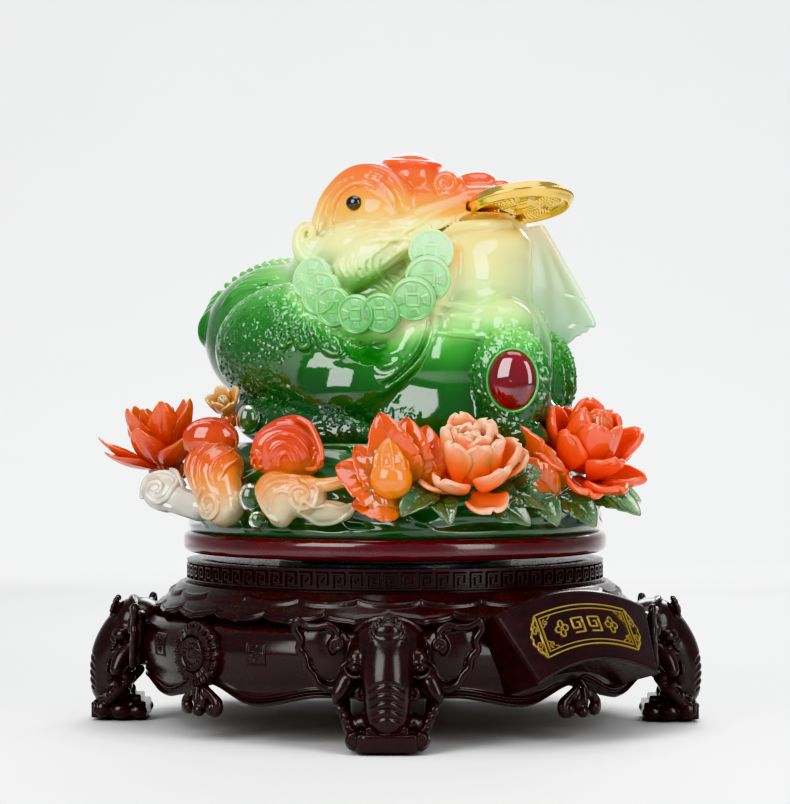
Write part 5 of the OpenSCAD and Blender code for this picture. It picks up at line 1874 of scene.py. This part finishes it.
def studio():
    # a floor that curves up into a plain backdrop
    bend = np.radians(np.linspace(0, 90, 25))
    line = ([(-3000, 0)] + [(1500 + 1400 * math.sin(a), 1400 - 1400 * math.cos(a)) for a in bend]
            + [(2900, 5000)])
    points = [(x, y, z) for y, z in line for x in (-FLOOR_HALF, FLOOR_HALF)]
    faces = [(2 * i, 2 * i + 1, 2 * i + 3, 2 * i + 2) for i in range(len(line) - 1)]
    floor = new_mesh("floor", points, faces)
    m = Nodes("floor_paper")
    m.colour(m.ramp(m.noise(6, 2.0), [(0.0, (0.78, 0.78, 0.78)), (1.0, (0.82, 0.82, 0.82))]))
    m.set(Roughness=0.6)
    floor.data.materials.append(m.material)
    bpy.context.scene.view_settings.view_transform = "Khronos PBR Neutral"
    world = bpy.data.worlds.new("world")
    bpy.context.scene.world = world
    world.use_nodes = True
    back = world.node_tree.nodes["Background"]
    back.inputs[0].default_value = (0.90, 0.91, 0.93, 1)
    back.inputs[1].default_value = 0.50
    for name, place, size, power, aim in (
            ("key_box", (-0.60, -0.85, 0.65), (0.65, 0.85), 9, (0, 0, 0.17)),
            ("side_box", (0.70, -0.75, 0.50), (0.40, 0.9), 5, (0, 0, 0.17)),
            ("back_box", (0.25, 1.10, 0.85), (0.9, 0.5), 9, (0, 0, 0.17)),
            ("top_box", (0.0, -0.1, 1.25), (0.8, 0.8), 5, (0, 0, 0.17)),
            ("wall_box", (0.0, 1.35, 0.9), (3.0, 1.2), 24, (0, 2.9, 0.3))):
        data = bpy.data.lights.new(name, "AREA")
        data.shape, data.size, data.size_y, data.energy = "RECTANGLE", size[0], size[1], power
        lamp = bpy.data.objects.new(name, data)
        lamp.location = place
        lamp.rotation_euler = (Vector(aim) - Vector(place)).to_track_quat("-Z", "Y").to_euler()
        bpy.context.scene.collection.objects.link(lamp)


CAMERA_DISTANCE = 1.492
CAMERA_HEIGHT = 0.169
CAMERA_TURN = 1.4        # degrees, so that the front leg stands just left of the middle
LENS, SENSOR = 125.0, 36.0


def camera():
    data = bpy.data.cameras.new("camera")
    data.lens, data.sensor_width = LENS, SENSOR
    data.clip_start, data.clip_end = 0.05, 20
    eye = bpy.data.objects.new("camera", data)
    a = math.radians(CAMERA_TURN)
    eye.location = (CAMERA_DISTANCE * math.sin(a), -CAMERA_DISTANCE * math.cos(a), CAMERA_HEIGHT)
    eye.rotation_euler = (math.pi / 2, 0, a)
    bpy.context.scene.collection.objects.link(eye)
    bpy.context.scene.camera = eye


studio()
camera()
WOOD, GOLD, JADE = wood_material(), gold_material(), jade_material()
RED = petal_material("lotus_resin", [(0.0, (0.78, 0.035, 0.001)), (0.6, (0.90, 0.085, 0.003)),
                                     (1.0, (0.92, 0.19, 0.015))],
                     clear=0.45)
PEACH = petal_material("peach_resin",
                       [(0.0, (0.86, 0.11, 0.012)), (0.50, (0.88, 0.22, 0.06)), (0.85, (0.88, 0.36, 0.18)),
                                       (1.0, (0.88, 0.50, 0.34))], rough=0.10)
CORAL = petal_material("coral_resin",
                       [(0.0, (0.66, 0.024, 0.001)), (0.45, (0.80, 0.065, 0.006)),
                        (1.0, (0.86, 0.130, 0.026))],
                       rough=0.10)
PALE = petal_material("blossom_resin",
                      [(0.0, (0.85, 0.14, 0.006)), (0.5, (0.88, 0.36, 0.08)), (1.0, (0.88, 0.60, 0.32))],
                      clear=0.3)
AMBER = petal_material("amber_resin",
                       [(0.0, (0.72, 0.17, 0.012)), (0.5, (0.82, 0.13, 0.006)), (1.0, (0.84, 0.11, 0.007))],
                       clear=0.25)
FIN = simple_resin("fin_resin", [(0.205, (0.50, 0.68, 0.52)), (0.235, (0.66, 0.76, 0.60)),
                                 (0.262, (0.74, 0.68, 0.44))],
                   low=0.20, high=0.28, rough=0.04, depth=0.002)
BUD = petal_material("bud_resin", [(0.0, (0.90, 0.36, 0.03)), (1.0, (0.88, 0.20, 0.012))], clear=0.2)
GLASS = petal_material("glass_leaf_resin",
                       [(0.0, (0.030, 0.120, 0.025)), (0.6, (0.130, 0.320, 0.100)),
                        (1.0, (0.420, 0.580, 0.330))],
                       clear=0.75, rough=0.05)
MINT = simple_resin("mint_resin", [(0.205, (0.11, 0.40, 0.10)), (0.218, (0.22, 0.54, 0.19)),
                                   (0.236, (0.42, 0.66, 0.36)),
                                   (0.254, (0.56, 0.74, 0.50))], low=0.20, high=0.27, rough=0.04, depth=0.002)
WHITE = simple_resin("white_resin", [(0.108, (0.48, 0.50, 0.42)), (0.122, (0.78, 0.76, 0.70)),
                                     (0.138, (0.86, 0.74, 0.60))],
                     low=0.10, high=0.14, rough=0.04, clear=0.45)
CLOUD = simple_resin("cloud_resin", [(0.106, (0.42, 0.46, 0.30)), (0.118, (0.76, 0.62, 0.42)),
                                     (0.129, (0.86, 0.36, 0.08)),
                                     (0.140, (0.82, 0.135, 0.006)), (0.158, (0.62, 0.050, 0.003))],
                                     low=0.10, high=0.165, rough=0.04, clear=0.35)
RUYI = simple_resin("ruyi_resin", [(0.128, (0.84, 0.30, 0.08)), (0.140, (0.78, 0.095, 0.006)),
                                   (0.160, (0.66, 0.055, 0.003))],
                    low=0.12, high=0.165, rough=0.04, clear=0.25)
MOUND = simple_resin("mound_resin", [(0.102, (0.006, 0.050, 0.008)), (0.118, (0.004, 0.070, 0.008)),
                                     (0.148, (0.010, 0.110, 0.010))],
                     low=0.10, high=0.15, wave=0.03)

drum_piece(WOOD)
seals_piece(WOOD)
scrolls_piece(WOOD)
fret_piece(WOOD)
collar_piece(WOOD)
medallions_piece(WOOD)
legs_pieces(WOOD)
plaque_piece(WOOD)
inlay_piece(GOLD)
disc_piece(lacquer_material())

toad_piece(JADE)
for side in (1, -1):
    coin_string_piece(MINT, side)
fin_piece(FIN, -1)
stones_pieces(ruby_material(), MINT)
eyes_piece(bead_material())
mouth_coin_piece(GOLD)

mound_piece(MOUND)
cloud_bank_piece(CLOUD)
white_curl_piece(WHITE)
ruyi_piece(RUYI)
spiral_piece(CLOUD)
lotus_piece(RED)
blossom_piece(PALE)
peach_piece(PEACH)
red_peony_piece(CORAL)
bud_piece(BUD)
orange_leaves_piece(AMBER)
amber_leaf_piece(AMBER)
green_leaves_piece(GLASS)
carried_over_materials()
